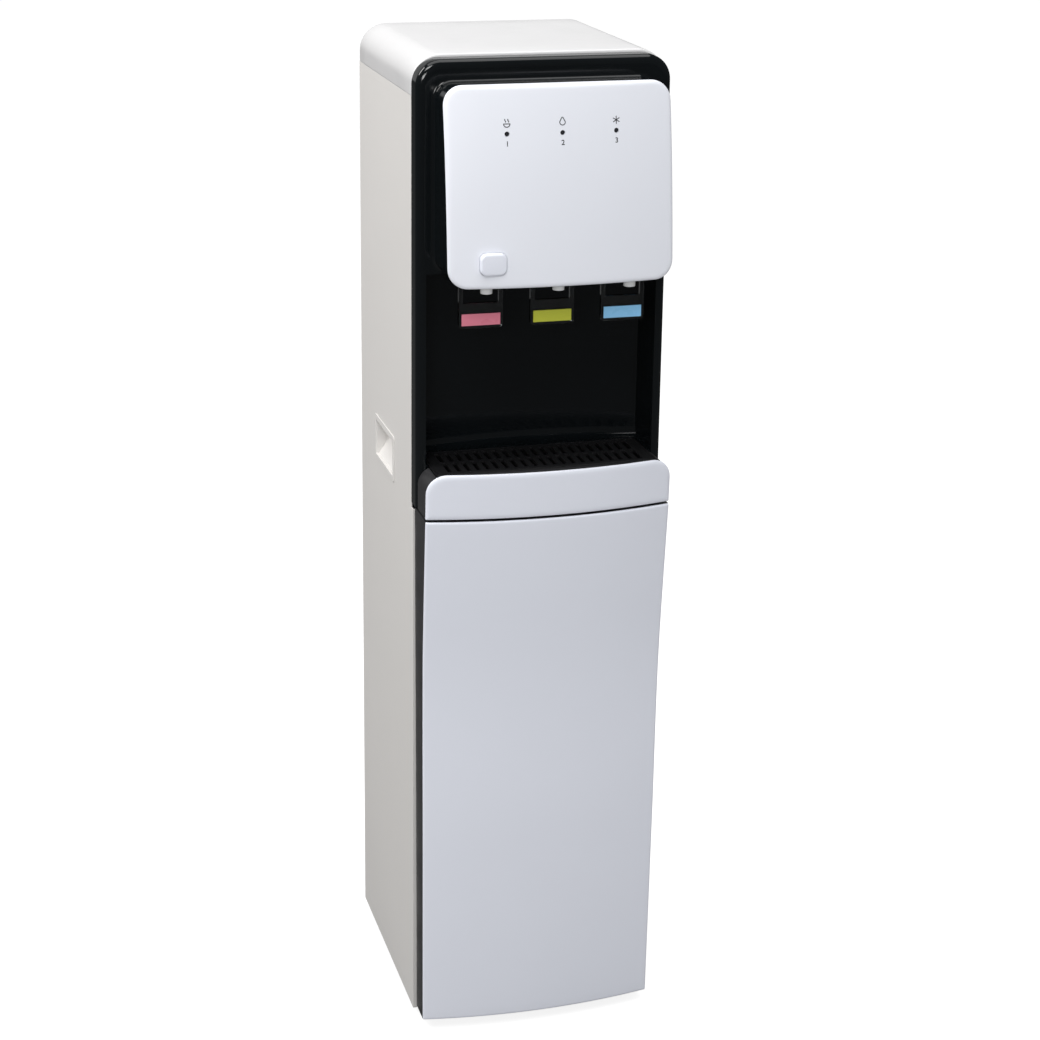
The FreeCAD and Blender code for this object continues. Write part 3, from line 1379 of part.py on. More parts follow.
def make_tank_shelf():
    side = half - s.sheet - s.panel_gap
    front = bay_back + s.bay_dish + s.bay_wall + 6
    rear = back - s.sheet - s.panel_gap
    low = s.tank_shelf_level - s.tank_shelf_height
    outer = box("tank_shelf_outer", (-side, front, low), (side, rear, s.tank_shelf_level))
    under = box("tank_shelf_under", (-side + s.sheet, front + s.sheet, low - 1),
                (side - s.sheet, rear - s.sheet, s.tank_shelf_level - s.sheet))
    return node("tank_shelf", cut("tank_shelf_cut", outer, under))


def make_cold_tank():
    """Foam shell with flat sides, around the empty space of the cold water tank."""
    foam = prism("cold_foam", 24, cold_full, (cold_x, s.tank_back, s.tank_shelf_level),
                 tank_height + s.jacket_wall)
    space = prism("cold_space", 24, s.cold_radius,
                  (cold_x, s.tank_back, s.tank_shelf_level + s.jacket_wall / 2), tank_height)
    return node("cold_tank", cut("cold_hollow", foam, space))


def make_hot_tank():
    """Hollow stainless hot water tank with the terminal block of its heater."""
    low = s.tank_shelf_level
    tank = prism("hot_shell", 24, s.hot_radius, (hot_x, s.tank_back, low), tank_height)
    space = prism("hot_space", 24, s.hot_radius - s.tank_wall,
                  (hot_x, s.tank_back, low + s.tank_wall), tank_height - 2 * s.tank_wall)
    block = box("heater_block", (hot_x - 16, s.tank_back + s.hot_radius * 0.8, low + s.heater_height),
                (hot_x + 16, s.tank_back + s.hot_radius + s.heater_proud,
                 low + 2 * s.heater_height))
    return node("hot_tank", fuse("hot_whole", cut("hot_hollow", tank, space), block))


def make_water_tubes():
    """Straight tubes from the tap inlets, each ending on its tank's round wall."""
    start = inlet_back() + s.stem_gap
    tubes = []
    for x, radius, centre in ((-tap_pitch, s.hot_radius, hot_x),
                              (0 * half, cold_full, cold_x),
                              (tap_pitch, cold_full, cold_x)):
        tube = prism("water_tube", 12, s.hose_wall_radius, (x, start, inlet_height),
                     s.tank_back - start, "y")
        tank = prism("tube_end", 24, radius, (centre, s.tank_back, inlet_height - 20), 40)
        tubes.append(cut("water_tube_cut", tube, tank))
    return node("water_tubes", group("tube_group", *tubes))


def make_control_board():
    """Control board on four posts on the back panel, with its relay."""
    left, right = gland_x - s.control_width, gland_x
    low, high = s.control_level, s.control_level + s.control_height
    face = back - s.post_length
    card = box("control_card", (left, face, low), (right, face + s.board_thick, high))
    posts = []
    for x in (left + s.control_inset, right - s.control_inset):
        for z in (low + s.control_inset, high - s.control_inset):
            reach = s.control_inset / 2
            posts.append(box("board_post", (x - reach, face + 1, z - reach),
                             (x + reach, back, z + reach)))
    at = (left + s.relay_size, low + s.relay_size / 2)
    relay = box("relay", (at[0], face - s.relay_proud, at[1]),
                (at[0] + s.relay_size, face + 1, at[1] + s.relay_size))
    return node("control_board", fuse("control_whole", card, relay, *posts))


# Back of the cabinet


def coil_half():
    return half - s.coil_inset


def coil_count():
    return int(s.coil_runs.value)


def coil_level(index):
    return s.coil_bottom + index * s.coil_pitch


def make_condenser():
    """One bent tube with upright wires on both faces, held by four brackets."""
    tube = doc.addObject("Part::Feature", "condenser_tube")
    tube.Shape = bar_along(condenser_path(), s.coil_tube.value)
    return node("condenser",
                group("condenser_group", tube, *condenser_wires(), *condenser_brackets()))


def condenser_path():
    """Level runs joined by half turns in short straight steps, with both ends bent inwards."""
    reach, y = coil_half().value, coil_y.value
    turn = s.coil_pitch.value / 2
    bend = (s.coil_gap - s.coil_tube).value
    runs = coil_count()
    levels = [coil_level(index).value for index in range(runs)]
    points = [Vector(-reach, back.value - 4, levels[0]), Vector(-reach, y - bend, levels[0]),
              Vector(-reach + bend, y, levels[0])]
    side = 1
    for low in levels[:-1]:
        for step in range(TURN_STEPS + 1):
            angle = math.pi * (step / TURN_STEPS - 0.5)
            points.append(Vector(side * (reach - turn + turn * math.cos(angle)), y,
                                 low + turn + turn * math.sin(angle)))
        side = -side
    points += [Vector(side * (reach - bend), y, levels[-1]),
               Vector(side * reach, y - bend, levels[-1]),
               Vector(side * reach, back.value - 4, levels[-1])]
    return Part.makePolygon(points)


def condenser_wires():
    """Upright wires on both faces of the tube."""
    count = int(s.wire_count.value)
    pitch = (coil_half() - s.coil_pitch) * 2 / (count - 1)
    low = s.coil_bottom - s.coil_pitch / 3
    height = (coil_count() - 1) * s.coil_pitch + 2 * s.coil_pitch / 3
    wires = []
    for face in (-1, 1):
        y = coil_y + face * (s.coil_tube + s.coil_wire)
        for index in range(count):
            x = -coil_half() + s.coil_pitch + index * pitch
            wires.append(box("wire", (x - s.coil_wire, y - s.coil_wire, low),
                             (x + s.coil_wire, y + s.coil_wire, low + height)))
    return wires


def condenser_brackets():
    """Four clips that hold the condenser off the panel."""
    brackets = []
    for side in (-1, 1):
        for index in (1, coil_count() - 2):
            x = side * (coil_half() - 1.6 * s.coil_pitch / 2)
            z = coil_level(index)
            brackets.append(cut("bracket", box(
                "bracket_block", (x - 4, panel_back, z - 5), (x + 4, coil_y, z + 5)),
                box("bracket_slot", (x - 5, coil_y - s.coil_tube, z - s.coil_tube),
                    (x + 5, coil_y + s.coil_tube, z + s.coil_tube))))
    return brackets


def switch_low():
    return s.switch_level - s.rocker_tall / 2 - 4


def switch_high():
    return s.switch_level + s.rocker_tall / 2 + 4


def switch_places():
    return [s.switch_side - s.switch_pitch / 2, s.switch_side + s.switch_pitch / 2]


def rocker_axis_y():
    return panel_back - 4


def make_switch_housing():
    """Moulded plate in the back panel with a pocket and a saddle for each rocker."""
    edge = s.panel_gap
    left, right = s.switch_side - s.switch_pitch, s.switch_side + s.switch_pitch
    block = box("housing_block_rear", (left + edge, panel_back - s.switch_depth, switch_low() + edge),
                (right - edge, panel_back + 1, switch_high() - edge))
    bezel = rounded_block("housing_bezel", (left - 3, panel_back, switch_low() - 3),
                          (right + 3, panel_back + 2, switch_high() + 3), 4, "y")
    pockets, saddles = [], []
    for x in switch_places():
        wide = s.rocker_width / 2 + s.rocker_gap
        tall = s.rocker_tall / 2 + s.rocker_gap
        saddles.append(cut("rocker_saddle", box(
            "saddle_block", (x - s.rocker_pivot, panel_back - 13, s.switch_level - s.rocker_pivot - 0.4),
            (x + s.rocker_pivot, rocker_axis_y() - 1.3, s.switch_level + s.rocker_pivot + 0.4)),
            rod("saddle_bore", s.rocker_pivot + s.pin_clearance,
                (x - s.rocker_pivot - 1, rocker_axis_y(), s.switch_level),
                2 * s.rocker_pivot + 2, "x")))
        pockets.append(box("rocker_pocket", (x - wide, panel_back - 12, s.switch_level - tall),
                           (x + wide, panel_back + 3, s.switch_level + tall)))
    bored = cut("switch_cut", fuse("switch_body_rear", block, bezel), *pockets)
    return node("switch_housing", fuse("switch_whole", bored, *saddles))


def make_rocker(label, x):
    """Rocker whose face is bent at its middle, and whose round back turns in a saddle."""
    y = rocker_axis_y()
    tall = s.rocker_tall / 2 - s.rocker_swing
    outer = panel_back + 2.5
    corners = [(y, s.switch_level - s.rocker_pivot), (y, s.switch_level + s.rocker_pivot),
               (outer - 1, s.switch_level + tall), (outer + 2.5, s.switch_level + tall),
               (outer, s.switch_level), (outer + 0.2, s.switch_level - tall),
               (outer - 2, s.switch_level - tall)]
    wide = s.rocker_width / 2
    face = slab_x(label + "_face", x - wide, x + wide, corners)
    pivot = rod(label + "_pivot", s.rocker_pivot, (x - wide, y, s.switch_level), 2 * wide, "x")
    return node(label, fuse(label + "_whole", face, pivot))


def make_drain_spout():
    """Drain of the tanks: a bored spout on a square body through the panel."""
    x, z = -s.drain_side, s.drain_level
    wide = s.drain_radius
    body = box("drain_body", (x - wide, back - s.drain_inside, z - wide),
               (x + wide, panel_back, z + wide))
    collar = box("drain_collar", (x - wide - 4, panel_back, z - wide - 4),
                 (x + wide + 4, panel_back + 2, z + wide + 4))
    tube = prism("drain_tube", 16, wide, (x, panel_back, z), s.drain_reach, "y")
    bore = prism("drain_bore", 16, wide - 2, (x, panel_back, z), s.drain_reach + 1, "y")
    return node("drain_spout", cut("drain_cut", fuse("drain_whole", body, collar, tube), bore))


def make_drain_cap():
    """Screw cap with flat sides over the drain spout."""
    x, z = -s.drain_side, s.drain_level
    radius = s.drain_radius + s.drain_gap
    outer = prism("cap_outer", 12, radius + s.cap_wall + 1, (x, panel_back + 2.5, z),
                  s.drain_reach - 2.5 + s.drain_gap + s.cap_wall, "y")
    inner = prism("cap_inner", 12, radius + s.drain_gap, (x, panel_back + 2, z),
                  s.drain_reach - 2 + s.drain_gap, "y")
    return node("drain_cap", cut("cap_cut", outer, inner))


def make_gland():
    """Snap-in bushing for the mains cord: a bored square block with a flange."""
    x, z = gland_x, s.gland_level
    wide = s.gland_radius
    body = box("gland_body", (x - wide, back - s.sheet - 12, z - wide),
               (x + wide, panel_back + 1, z + wide))
    flange = box("gland_flange", (x - wide - 4, panel_back, z - wide - 4),
                 (x + wide + 4, panel_back + 4, z + wide + 4))
    bore = rod("gland_bore", s.cord_bore, (x, back - s.sheet - 13, z), 40, "y")
    return node("cord_gland", cut("gland_cut", fuse("gland_whole", body, flange), bore))


make_base_pan()
make_feet()
for label, side in (("left_side_panel", -1), ("right_side_panel", 1)):
    make_side_panel(label, side)
for label, side in (("left_handle_cup", -1), ("right_handle_cup", 1)):
    make_handle_cup(label, side)
make_back_panel()
make_lid()
make_fascia()
make_bay_panel()
make_head_cover()
make_head_body()
make_electronics()
make_lenses()
make_lock_button()
for water, place in zip(("hot", "room", "cold"), tap_places()):
    make_tap_body(f"{water}_tap_body", place)
    make_lever(f"{water}_tap_lever", place)
    make_insert(f"{water}_lever_insert", place)
    make_stem(f"{water}_valve_stem", place)
    make_spring(f"{water}_valve_spring", place)
make_apron()
make_tray_housing()
make_drip_tray()
make_grille()
make_door_skin()
make_door_liner()
make_strikes()
make_door_frame()
make_magnets()
make_hinges()
make_mat()
make_mid_shelf()
make_probe()
make_hose()
make_probe_clips()
make_pump()
make_compressor()
make_tank_shelf()
make_cold_tank()
make_hot_tank()
make_water_tubes()
make_control_board()
make_condenser()
make_switch_housing()
for label, place in zip(("heating_switch", "cooling_switch"), switch_places()):
    make_rocker(label, place)
make_drain_spout()
make_drain_cap()
make_gland()

doc.recompute()

for thing in doc.Objects:
    if "Invalid" in thing.State or "Error" in thing.State:
        raise RuntimeError(f"{thing.Name} did not recompute: {thing.State}")
for piece in nodes:
    if piece.Shape.isNull() or not piece.Shape.isValid():
        raise RuntimeError(f"{piece.Label} has no valid shape")

os.makedirs("parts", exist_ok=True)
for piece in nodes:
    piece.Shape.exportStep(f"parts/{piece.Label}.step")
print(len(nodes), "pieces written")
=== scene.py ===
# %% [markdown]
# # A bottom-loading water dispenser
# The object is a slim cabinet with a pale bowed door, a glossy black front, a
# head that hangs over three push-lever taps, and a drip tray. The CAD model
# gives every piece its place. This lesson gives the pieces their looks: round
# edges where the moulds have them, and a surface finish for each material.

# %% Load the CAD model
import json
import math

import bmesh
import bpy
import numpy as np
from mathutils import Matrix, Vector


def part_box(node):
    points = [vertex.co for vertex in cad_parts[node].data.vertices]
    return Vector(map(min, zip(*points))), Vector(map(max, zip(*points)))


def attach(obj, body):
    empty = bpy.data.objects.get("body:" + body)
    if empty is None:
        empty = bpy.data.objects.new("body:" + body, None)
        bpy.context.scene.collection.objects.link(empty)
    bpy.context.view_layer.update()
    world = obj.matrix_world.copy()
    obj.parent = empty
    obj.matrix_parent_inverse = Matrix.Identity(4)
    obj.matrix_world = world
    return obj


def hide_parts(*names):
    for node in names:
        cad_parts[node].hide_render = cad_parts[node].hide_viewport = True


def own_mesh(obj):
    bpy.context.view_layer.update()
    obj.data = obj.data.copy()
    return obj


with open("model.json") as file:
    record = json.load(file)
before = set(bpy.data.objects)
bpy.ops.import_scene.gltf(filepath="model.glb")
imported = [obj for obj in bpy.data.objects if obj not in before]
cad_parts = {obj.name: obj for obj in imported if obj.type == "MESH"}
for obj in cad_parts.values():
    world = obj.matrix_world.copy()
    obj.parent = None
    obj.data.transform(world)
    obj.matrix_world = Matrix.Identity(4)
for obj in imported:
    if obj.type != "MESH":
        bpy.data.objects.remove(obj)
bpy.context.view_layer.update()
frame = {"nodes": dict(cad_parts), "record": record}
nodes = frame["nodes"]
body_of_node = {node: body for body, group in frame["record"]["behaviour"]["bodies"].items()
                for node in group}
slot_of_node = {entry["node"]: entry["material_slot"] for entry in frame["record"]["subparts"]}

# %% [markdown]
# The camera comes first, because every later look is judged through it. Its
# place and turn were worked out from the corners of the cabinet in the picture.
# Shifting the lens keeps the picture's own centre without tilting the camera.

# %% Camera
IMAGE_SIDE = 1040
FOCAL_PIXELS = 2279.8
CENTRE_PIXEL = (507.4, 400.2)
CAMERA_PLACE = (-0.688, -2.4531, 1.483)
YAW, PITCH, ROLL = np.radians((15.51, 16.42, 0.68))


def camera_axes():
    """Right, up and backward directions of a camera that is turned, tilted down and rolled."""
    forward = np.array([math.sin(YAW) * math.cos(PITCH), math.cos(YAW) * math.cos(PITCH),
                        -math.sin(PITCH)])
    level = np.array([math.cos(YAW), -math.sin(YAW), 0.0])
    upward = np.cross(level, forward)
    right = math.cos(ROLL) * level + math.sin(ROLL) * upward
    up = -math.sin(ROLL) * level + math.cos(ROLL) * upward
    return right, up, -forward


def placed(name, data):
    """A new object in the scene that holds a mesh, a lamp, a camera or a letter."""
    thing = bpy.data.objects.new(name, data)
    bpy.context.scene.collection.objects.link(thing)
    return thing


def turn_to(thing, axes, place):
    """Puts a camera or a lamp at a place, with its own x, y and z along three directions."""
    matrix = np.eye(4)
    matrix[:3, :3] = np.stack(axes, axis=1)
    matrix[:3, 3] = place
    thing.matrix_world = Matrix(matrix.tolist())


lens = bpy.data.cameras.new("photo_camera")
lens.sensor_width = 36.0
lens.lens = FOCAL_PIXELS / IMAGE_SIDE * lens.sensor_width
lens.shift_x = (IMAGE_SIDE / 2 - CENTRE_PIXEL[0]) / IMAGE_SIDE
lens.shift_y = (CENTRE_PIXEL[1] - IMAGE_SIDE / 2) / IMAGE_SIDE
lens.clip_end = 50.0
camera = placed("photo_camera", lens)
turn_to(camera, camera_axes(), CAMERA_PLACE)
bpy.context.scene.camera = camera
print("lens", round(lens.lens, 1), "mm")

# %% [markdown]
# Light and finishes are made of shader nodes. Two small helpers make a node and
# fill its inputs, so that the steps below say only what they mix.

# %% Helpers for shader nodes


def fill(tree, node, **inputs):
    """Gives each named input of a node a value, or a link where it is given an output.

    An underscore in a name stands for a space.
    """
    for name, value in inputs.items():
        entry = node.inputs[name.replace("_", " ")]
        if isinstance(value, bpy.types.NodeSocket):
            tree.links.new(value, entry)
        else:
            entry.default_value = value
    return node


def add_node(tree, kind, **inputs):
    """A new node of a kind with its inputs filled."""
    return fill(tree, tree.nodes.new("ShaderNode" + kind), **inputs)


print("a node's input takes a value or a link")

# %% [markdown]
# The floor is a wide pale sheet, and the sky is plain. Both are bright where the
# camera sees them, but dim where gloss mirrors them, as in a studio whose dark
# corners keep black plastic black.

# %% Floor and sky


def by_ray(tree, ray, low, high):
    """A value that is high for one kind of ray and low for all others."""
    kind = add_node(tree, "LightPath").outputs[ray]
    return add_node(tree, "MapRange", Value=kind, To_Min=low, To_Max=high).outputs["Result"]


def add_floor(side=60.0, shed=0.33, mirrored=0.10, glow=0.84):
    """A square sheet at height zero, worked out as the four sign pairs of half its side."""
    corners = np.array([[-1, -1, 0], [1, -1, 0], [1, 1, 0], [-1, 1, 0]], float) * side / 2
    mesh = bpy.data.meshes.new("studio_floor")
    mesh.from_pydata(corners.tolist(), [], [(0, 1, 2, 3)])
    material = bpy.data.materials.new("studio_floor")
    material.use_nodes = True
    tree = material.node_tree
    fill(tree, tree.nodes["Principled BSDF"], Roughness=0.9, Specular_IOR_Level=0.0,
         Base_Color=by_ray(tree, "Is Glossy Ray", shed, mirrored), Emission_Color=(1, 1, 1, 1),
         Emission_Strength=by_ray(tree, "Is Camera Ray", 0.0, glow))
    mesh.materials.append(material)
    placed("studio_floor", mesh)


def add_sky(seen=1.0, shed=0.52, mirrored=0.08):
    """A plain sky with three strengths: the one seen, the one shed and the one mirrored."""
    world = bpy.data.worlds.new("studio_sky")
    bpy.context.scene.world = world
    world.use_nodes = True
    tree = world.node_tree
    unseen = by_ray(tree, "Is Glossy Ray", shed, mirrored)
    fill(tree, tree.nodes["Background"], Color=(1, 1, 1, 1),
         Strength=by_ray(tree, "Is Camera Ray", unseen, seen))


bpy.context.scene.view_settings.view_transform = "Standard"
add_floor()
add_sky()
print("floor and sky are up")

# %% [markdown]
# Five rectangular lamps stand for soft boxes. Those at the front are small,
# because the black front mirrors them, and the one above is wide and soft.

# %% Lamps


def add_lamp(name, place, target, size, power, colour=(1, 1, 1)):
    """A rectangular soft box that faces its target."""
    light = bpy.data.lights.new(name, "AREA")
    light.shape = "RECTANGLE"
    light.size, light.size_y = size
    light.energy = power
    light.color = colour
    lamp = placed(name, light)
    backward = np.array(place, float) - np.array(target, float)
    backward /= np.linalg.norm(backward)
    right = np.cross((0, 0, 1), backward)
    right /= np.linalg.norm(right)
    turn_to(lamp, (right, np.cross(backward, right), backward), place)


add_lamp("front_box", (-0.8, -1.5, 2.4), (0, 0, 1.15), (0.7, 0.5), 12)
add_lamp("low_box", (-0.9, -2.3, 1.5), (0, 0, 0.9), (0.6, 0.4), 10.4)
add_lamp("left_box", (-1.8, 0.2, 2.5), (0, 0, 1.1), (0.8, 1.0), 32, (1.0, 0.98, 0.965))
add_lamp("top_box", (0.0, -0.3, 5.0), (0, -0.2, 0), (4.2, 4.2), 142)
add_lamp("back_box", (-0.3, 4.0, 1.8), (-0.3, 0, 1.2), (4.0, 1.8), 8)
print(len(bpy.data.lights), "lamps")

# %% [markdown]
# Every finish is made of layers of noise, because no real surface is one flat
# colour. A broad noise shifts the colour a little, a middle one changes how
# glossy it is, and a fine one gives the grain of the mould or the paint. All
# noises read Object coordinates, so they keep their real size on every piece.

# %% A helper for painted and moulded finishes
NOISE_LOW, NOISE_HIGH = 0.3, 0.7
finishes = {}


def blank_material(name):
    """A new material, kept in finishes: its tree, its main shader and object coordinates."""
    material = bpy.data.materials.new(name)
    finishes[name] = material
    material.use_nodes = True
    tree = material.node_tree
    place = tree.nodes.new("ShaderNodeTexCoord").outputs["Object"]
    return tree, tree.nodes["Principled BSDF"], place


def noise(tree, place, scale, detail=3.0, stretch=None):
    """Noise that varies over 1/scale metres, drawn out along an axis by a stretch."""
    if stretch is not None:
        place = add_node(tree, "Mapping", Vector=place, Scale=stretch).outputs["Vector"]
    return add_node(tree, "TexNoise", Vector=place, Scale=scale, Detail=detail).outputs["Fac"]


def between(tree, value, low, high):
    """Spreads a noise, which stays near its middle, between two numbers."""
    return add_node(tree, "MapRange", Value=value, From_Min=NOISE_LOW, From_Max=NOISE_HIGH,
                    To_Min=low, To_Max=high).outputs["Result"]


def shaded(tree, value, colour, shade):
    """Runs from a colour to a darker one, by a share of its light, as the noise rises."""
    ramp = add_node(tree, "ValToRGB", Fac=value)
    first, last = ramp.color_ramp.elements
    first.position, last.position = NOISE_LOW, NOISE_HIGH
    first.color, last.color = (*colour, 1), (*(part * (1 - shade) for part in colour), 1)
    return ramp.outputs["Color"]


def bumped(tree, value, depth, height):
    """Lets a pattern roughen the surface: depth is its strength, height its metres."""
    return add_node(tree, "Bump", Height=value, Strength=depth,
                    Distance=height).outputs["Normal"]


def finish(name, colour, shade, gloss, grain=900, depth=0.02, height=0.0002, metal=0.0,
           broad=4.0, stretch=None, shine=0.5):
    """A finish from three noises: broad for colour, middle for gloss and fine for grain.

    shade is how much darker the second colour is, gloss gives the lowest and
    highest roughness, and depth and height are the strength of the grain.
    """
    tree, shader, place = blank_material(name)
    fill(tree, shader, Metallic=metal, Specular_IOR_Level=shine,
         Base_Color=shaded(tree, noise(tree, place, broad, 4, stretch), colour, shade),
         Roughness=between(tree, noise(tree, place, 30, 3, stretch), *gloss),
         Normal=bumped(tree, noise(tree, place, grain, 2, stretch), depth, height))


print("finishes are mixed from noises between", NOISE_LOW, "and", NOISE_HIGH)

# %% [markdown]
# The shell has three kinds of paint and plastic: a warm white enamel on the
# sheet-steel sides, a cool silvery white on the head, apron and door, and a
# black like a piano's on the front frame. The enamel has the slight ripple of
# sprayed paint, so its grain is coarse and shallow. The head cover is a little
# less blue than the door, so its white is mixed a second time.

# %% Finishes of the shell
finish("side_enamel", (0.75, 0.735, 0.715), 0.02, (0.34, 0.36), 260, 0.002, 0.0003, shine=0.4)
finish("lid_white", (0.62, 0.62, 0.625), 0.02, (0.28, 0.36), 1500, 0.05)
finish("pale_cover", (0.80, 0.825, 0.905), 0.02, (0.3, 0.38), 1600, 0.04)
finish("pale_head", (0.78, 0.80, 0.86), 0.02, (0.3, 0.38), 1600, 0.04)
finish("black_gloss", (0.0045, 0.006, 0.007), 0.2, (0.07, 0.12), 120, 0.02, 0.0006, shine=0.4)
finish("black_matte", (0.012, 0.012, 0.013), 0.3, (0.45, 0.6), 1300, 0.25)
finish("dark_grey", (0.030, 0.030, 0.032), 0.2, (0.35, 0.45), 1200, 0.12, shine=0.4)
finish("tray_black", (0.010, 0.010, 0.011), 0.3, (0.3, 0.42), 1100, 0.2)
finish("liner_white", (0.70, 0.70, 0.70), 0.04, (0.4, 0.5), 1200, 0.15)
print(len(finishes), "shell finishes")

# %% [markdown]
# The taps are white plastic with clear levers. Clear acrylic is nearly all
# light that passes through, so it needs transmission and the right bending of
# light. The strips that name hot, room and cold by colour are glossy.

# %% Finishes of the taps and the lamps


def clear_finish(name, tint, bend=1.49):
    """Clear plastic: it lets light through, and a faint noise dulls it in places."""
    tree, shader, place = blank_material(name)
    fill(tree, shader, Transmission_Weight=1.0, IOR=bend, Specular_IOR_Level=0.3,
         Base_Color=shaded(tree, noise(tree, place, 20), tint, 0.04),
         Roughness=between(tree, noise(tree, place, 60), 0.02, 0.07))


finish("tap_white", (0.80, 0.81, 0.81), 0.03, (0.22, 0.3), 1500, 0.05)
clear_finish("clear_lever", (0.93, 0.96, 0.97))
for strip, colour in (("strip_red", (0.78, 0.237, 0.32)), ("strip_green", (0.565, 0.60, 0.058)),
                      ("strip_blue", (0.30, 0.66, 1.0))):
    finish(strip, colour, 0.08, (0.25, 0.35), 1400, 0.08)
finish("lens_white", (0.03, 0.03, 0.035), 0.1, (0.08, 0.15), 1400, 0.02)
print(len(finishes), "finishes so far")

# %% [markdown]
# Inside and behind are plain technical materials. Zinc-coated sheet shows
# crystals, brushed steel has lines along one way, foam has pores and a rubber
# foot is dull. Cells of a Voronoi pattern stand for zinc crystals and pores.

# %% Finishes of the inside and the back


def crystal_finish(name, colour, shade, size, metal, gloss, depth):
    """Cells of one size, each with its own shade: zinc crystals or the pores of foam."""
    tree, shader, place = blank_material(name)
    cells = add_node(tree, "TexVoronoi", Vector=place, Scale=1 / size)
    red = add_node(tree, "SeparateColor", Color=cells.outputs["Color"]).outputs["Red"]
    fill(tree, shader, Base_Color=shaded(tree, red, colour, shade), Metallic=metal,
         Roughness=between(tree, noise(tree, place, 40), *gloss),
         Normal=bumped(tree, cells.outputs["Distance"], depth, 0.0003))


crystal_finish("zinc", (0.50, 0.51, 0.52), 0.16, 0.009, 0.35, (0.4, 0.5), 0.05)
crystal_finish("foam", (0.70, 0.66, 0.54), 0.12, 0.0016, 0.0, (0.7, 0.85), 0.3)
finish("steel_bright", (0.60, 0.60, 0.61), 0.1, (0.16, 0.3), 1500, 0.1, metal=0.6,
       stretch=(0.05, 1, 1))
finish("spring_steel", (0.42, 0.42, 0.44), 0.15, (0.2, 0.32), 1500, 0.1, metal=0.6)
finish("board_green", (0.015, 0.11, 0.04), 0.35, (0.25, 0.35), 700, 0.1, broad=120)
finish("rubber_black", (0.014, 0.014, 0.014), 0.3, (0.65, 0.8), 1200, 0.3)
finish("mat_grey", (0.045, 0.046, 0.05), 0.2, (0.6, 0.75), 900, 0.4)
finish("condenser_black", (0.010, 0.010, 0.010), 0.3, (0.35, 0.5), 500, 0.15)
finish("compressor_black", (0.012, 0.012, 0.013), 0.25, (0.25, 0.4), 400, 0.12)
finish("magnet", (0.035, 0.03, 0.03), 0.2, (0.6, 0.75), 900, 0.2)
finish("probe_blue", (0.16, 0.36, 0.62), 0.06, (0.3, 0.4), 1400, 0.08)
clear_finish("hose", (0.86, 0.89, 0.90), 1.41)
clear_finish("tube", (0.86, 0.88, 0.88), 1.41)
finish("switch_red", (0.55, 0.02, 0.015), 0.1, (0.2, 0.3), 1400, 0.05)
finish("switch_green", (0.02, 0.35, 0.06), 0.1, (0.2, 0.3), 1400, 0.05)
finish("pump_grey", (0.16, 0.165, 0.17), 0.15, (0.4, 0.5), 1100, 0.2)
print(len(finishes), "finishes in all")

# %% [markdown]
# The CAD draws most pieces with sharp edges, but no real edge is sharp: folded
# sheet has a small bend and mouldings have a radius. A merged copy of each CAD
# mesh gets a narrow bevel, with the normals of its flat faces kept flat.

# %% Copies of CAD pieces with softened edges


def make_piece(name, mesh, body, slot, *stands_for, look=None):
    """Puts a mesh in the scene as a piece that rides on a body.

    It wears the finish of its slot, or another look where one is named.
    """
    piece = placed(name, mesh)
    mesh.materials.clear()
    mesh.materials.append(finishes[look or slot])
    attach(piece, body)
    if stands_for:
        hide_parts(*stands_for)
    return piece


def merged_mesh(node, name, within=1e-6, flat=0.4):
    """The CAD mesh with its doubled corners joined and its flat faces made whole."""
    work = bmesh.new()
    work.from_mesh(nodes[node].data)
    bmesh.ops.remove_doubles(work, verts=work.verts, dist=within)
    bmesh.ops.dissolve_limit(work, angle_limit=math.radians(flat), verts=work.verts,
                             edges=work.edges)
    mesh = bpy.data.meshes.new(name)
    work.to_mesh(mesh)
    work.free()
    for attribute in [a for a in mesh.attributes if a.name == "custom_normal"]:
        mesh.attributes.remove(attribute)
    mesh.shade_smooth()
    return mesh


def round_edges(piece, width, segments=2, angle=32):
    """Gives every edge that is sharper than the angle a round bevel."""
    bevel = piece.modifiers.new("edge", "BEVEL")
    bevel.width = width
    bevel.segments = segments
    bevel.limit_method = "ANGLE"
    bevel.angle_limit = math.radians(angle)
    bevel.harden_normals = True
    bevel.use_clamp_overlap = True


def softened(node, width):
    """A copy of a CAD piece with round edges."""
    name = node + "_soft"
    round_edges(make_piece(name, merged_mesh(node, name), body_of_node[node],
                           slot_of_node[node], node), width)


print(len(nodes), "pieces can be softened")

# %% [markdown]
# The pale covers, the lid and the front frame are forms whose faces swell and
# whose edges roll over. They are drawn as rings: each ring is the outline of
# the piece seen from the front, drawn in by a growing inset. A function then
# says how far forward each point stands.

# %% Outlines
# Depths count from the cabinet's front edge, which lies here in the shared frame.
SHIFT = -0.0891


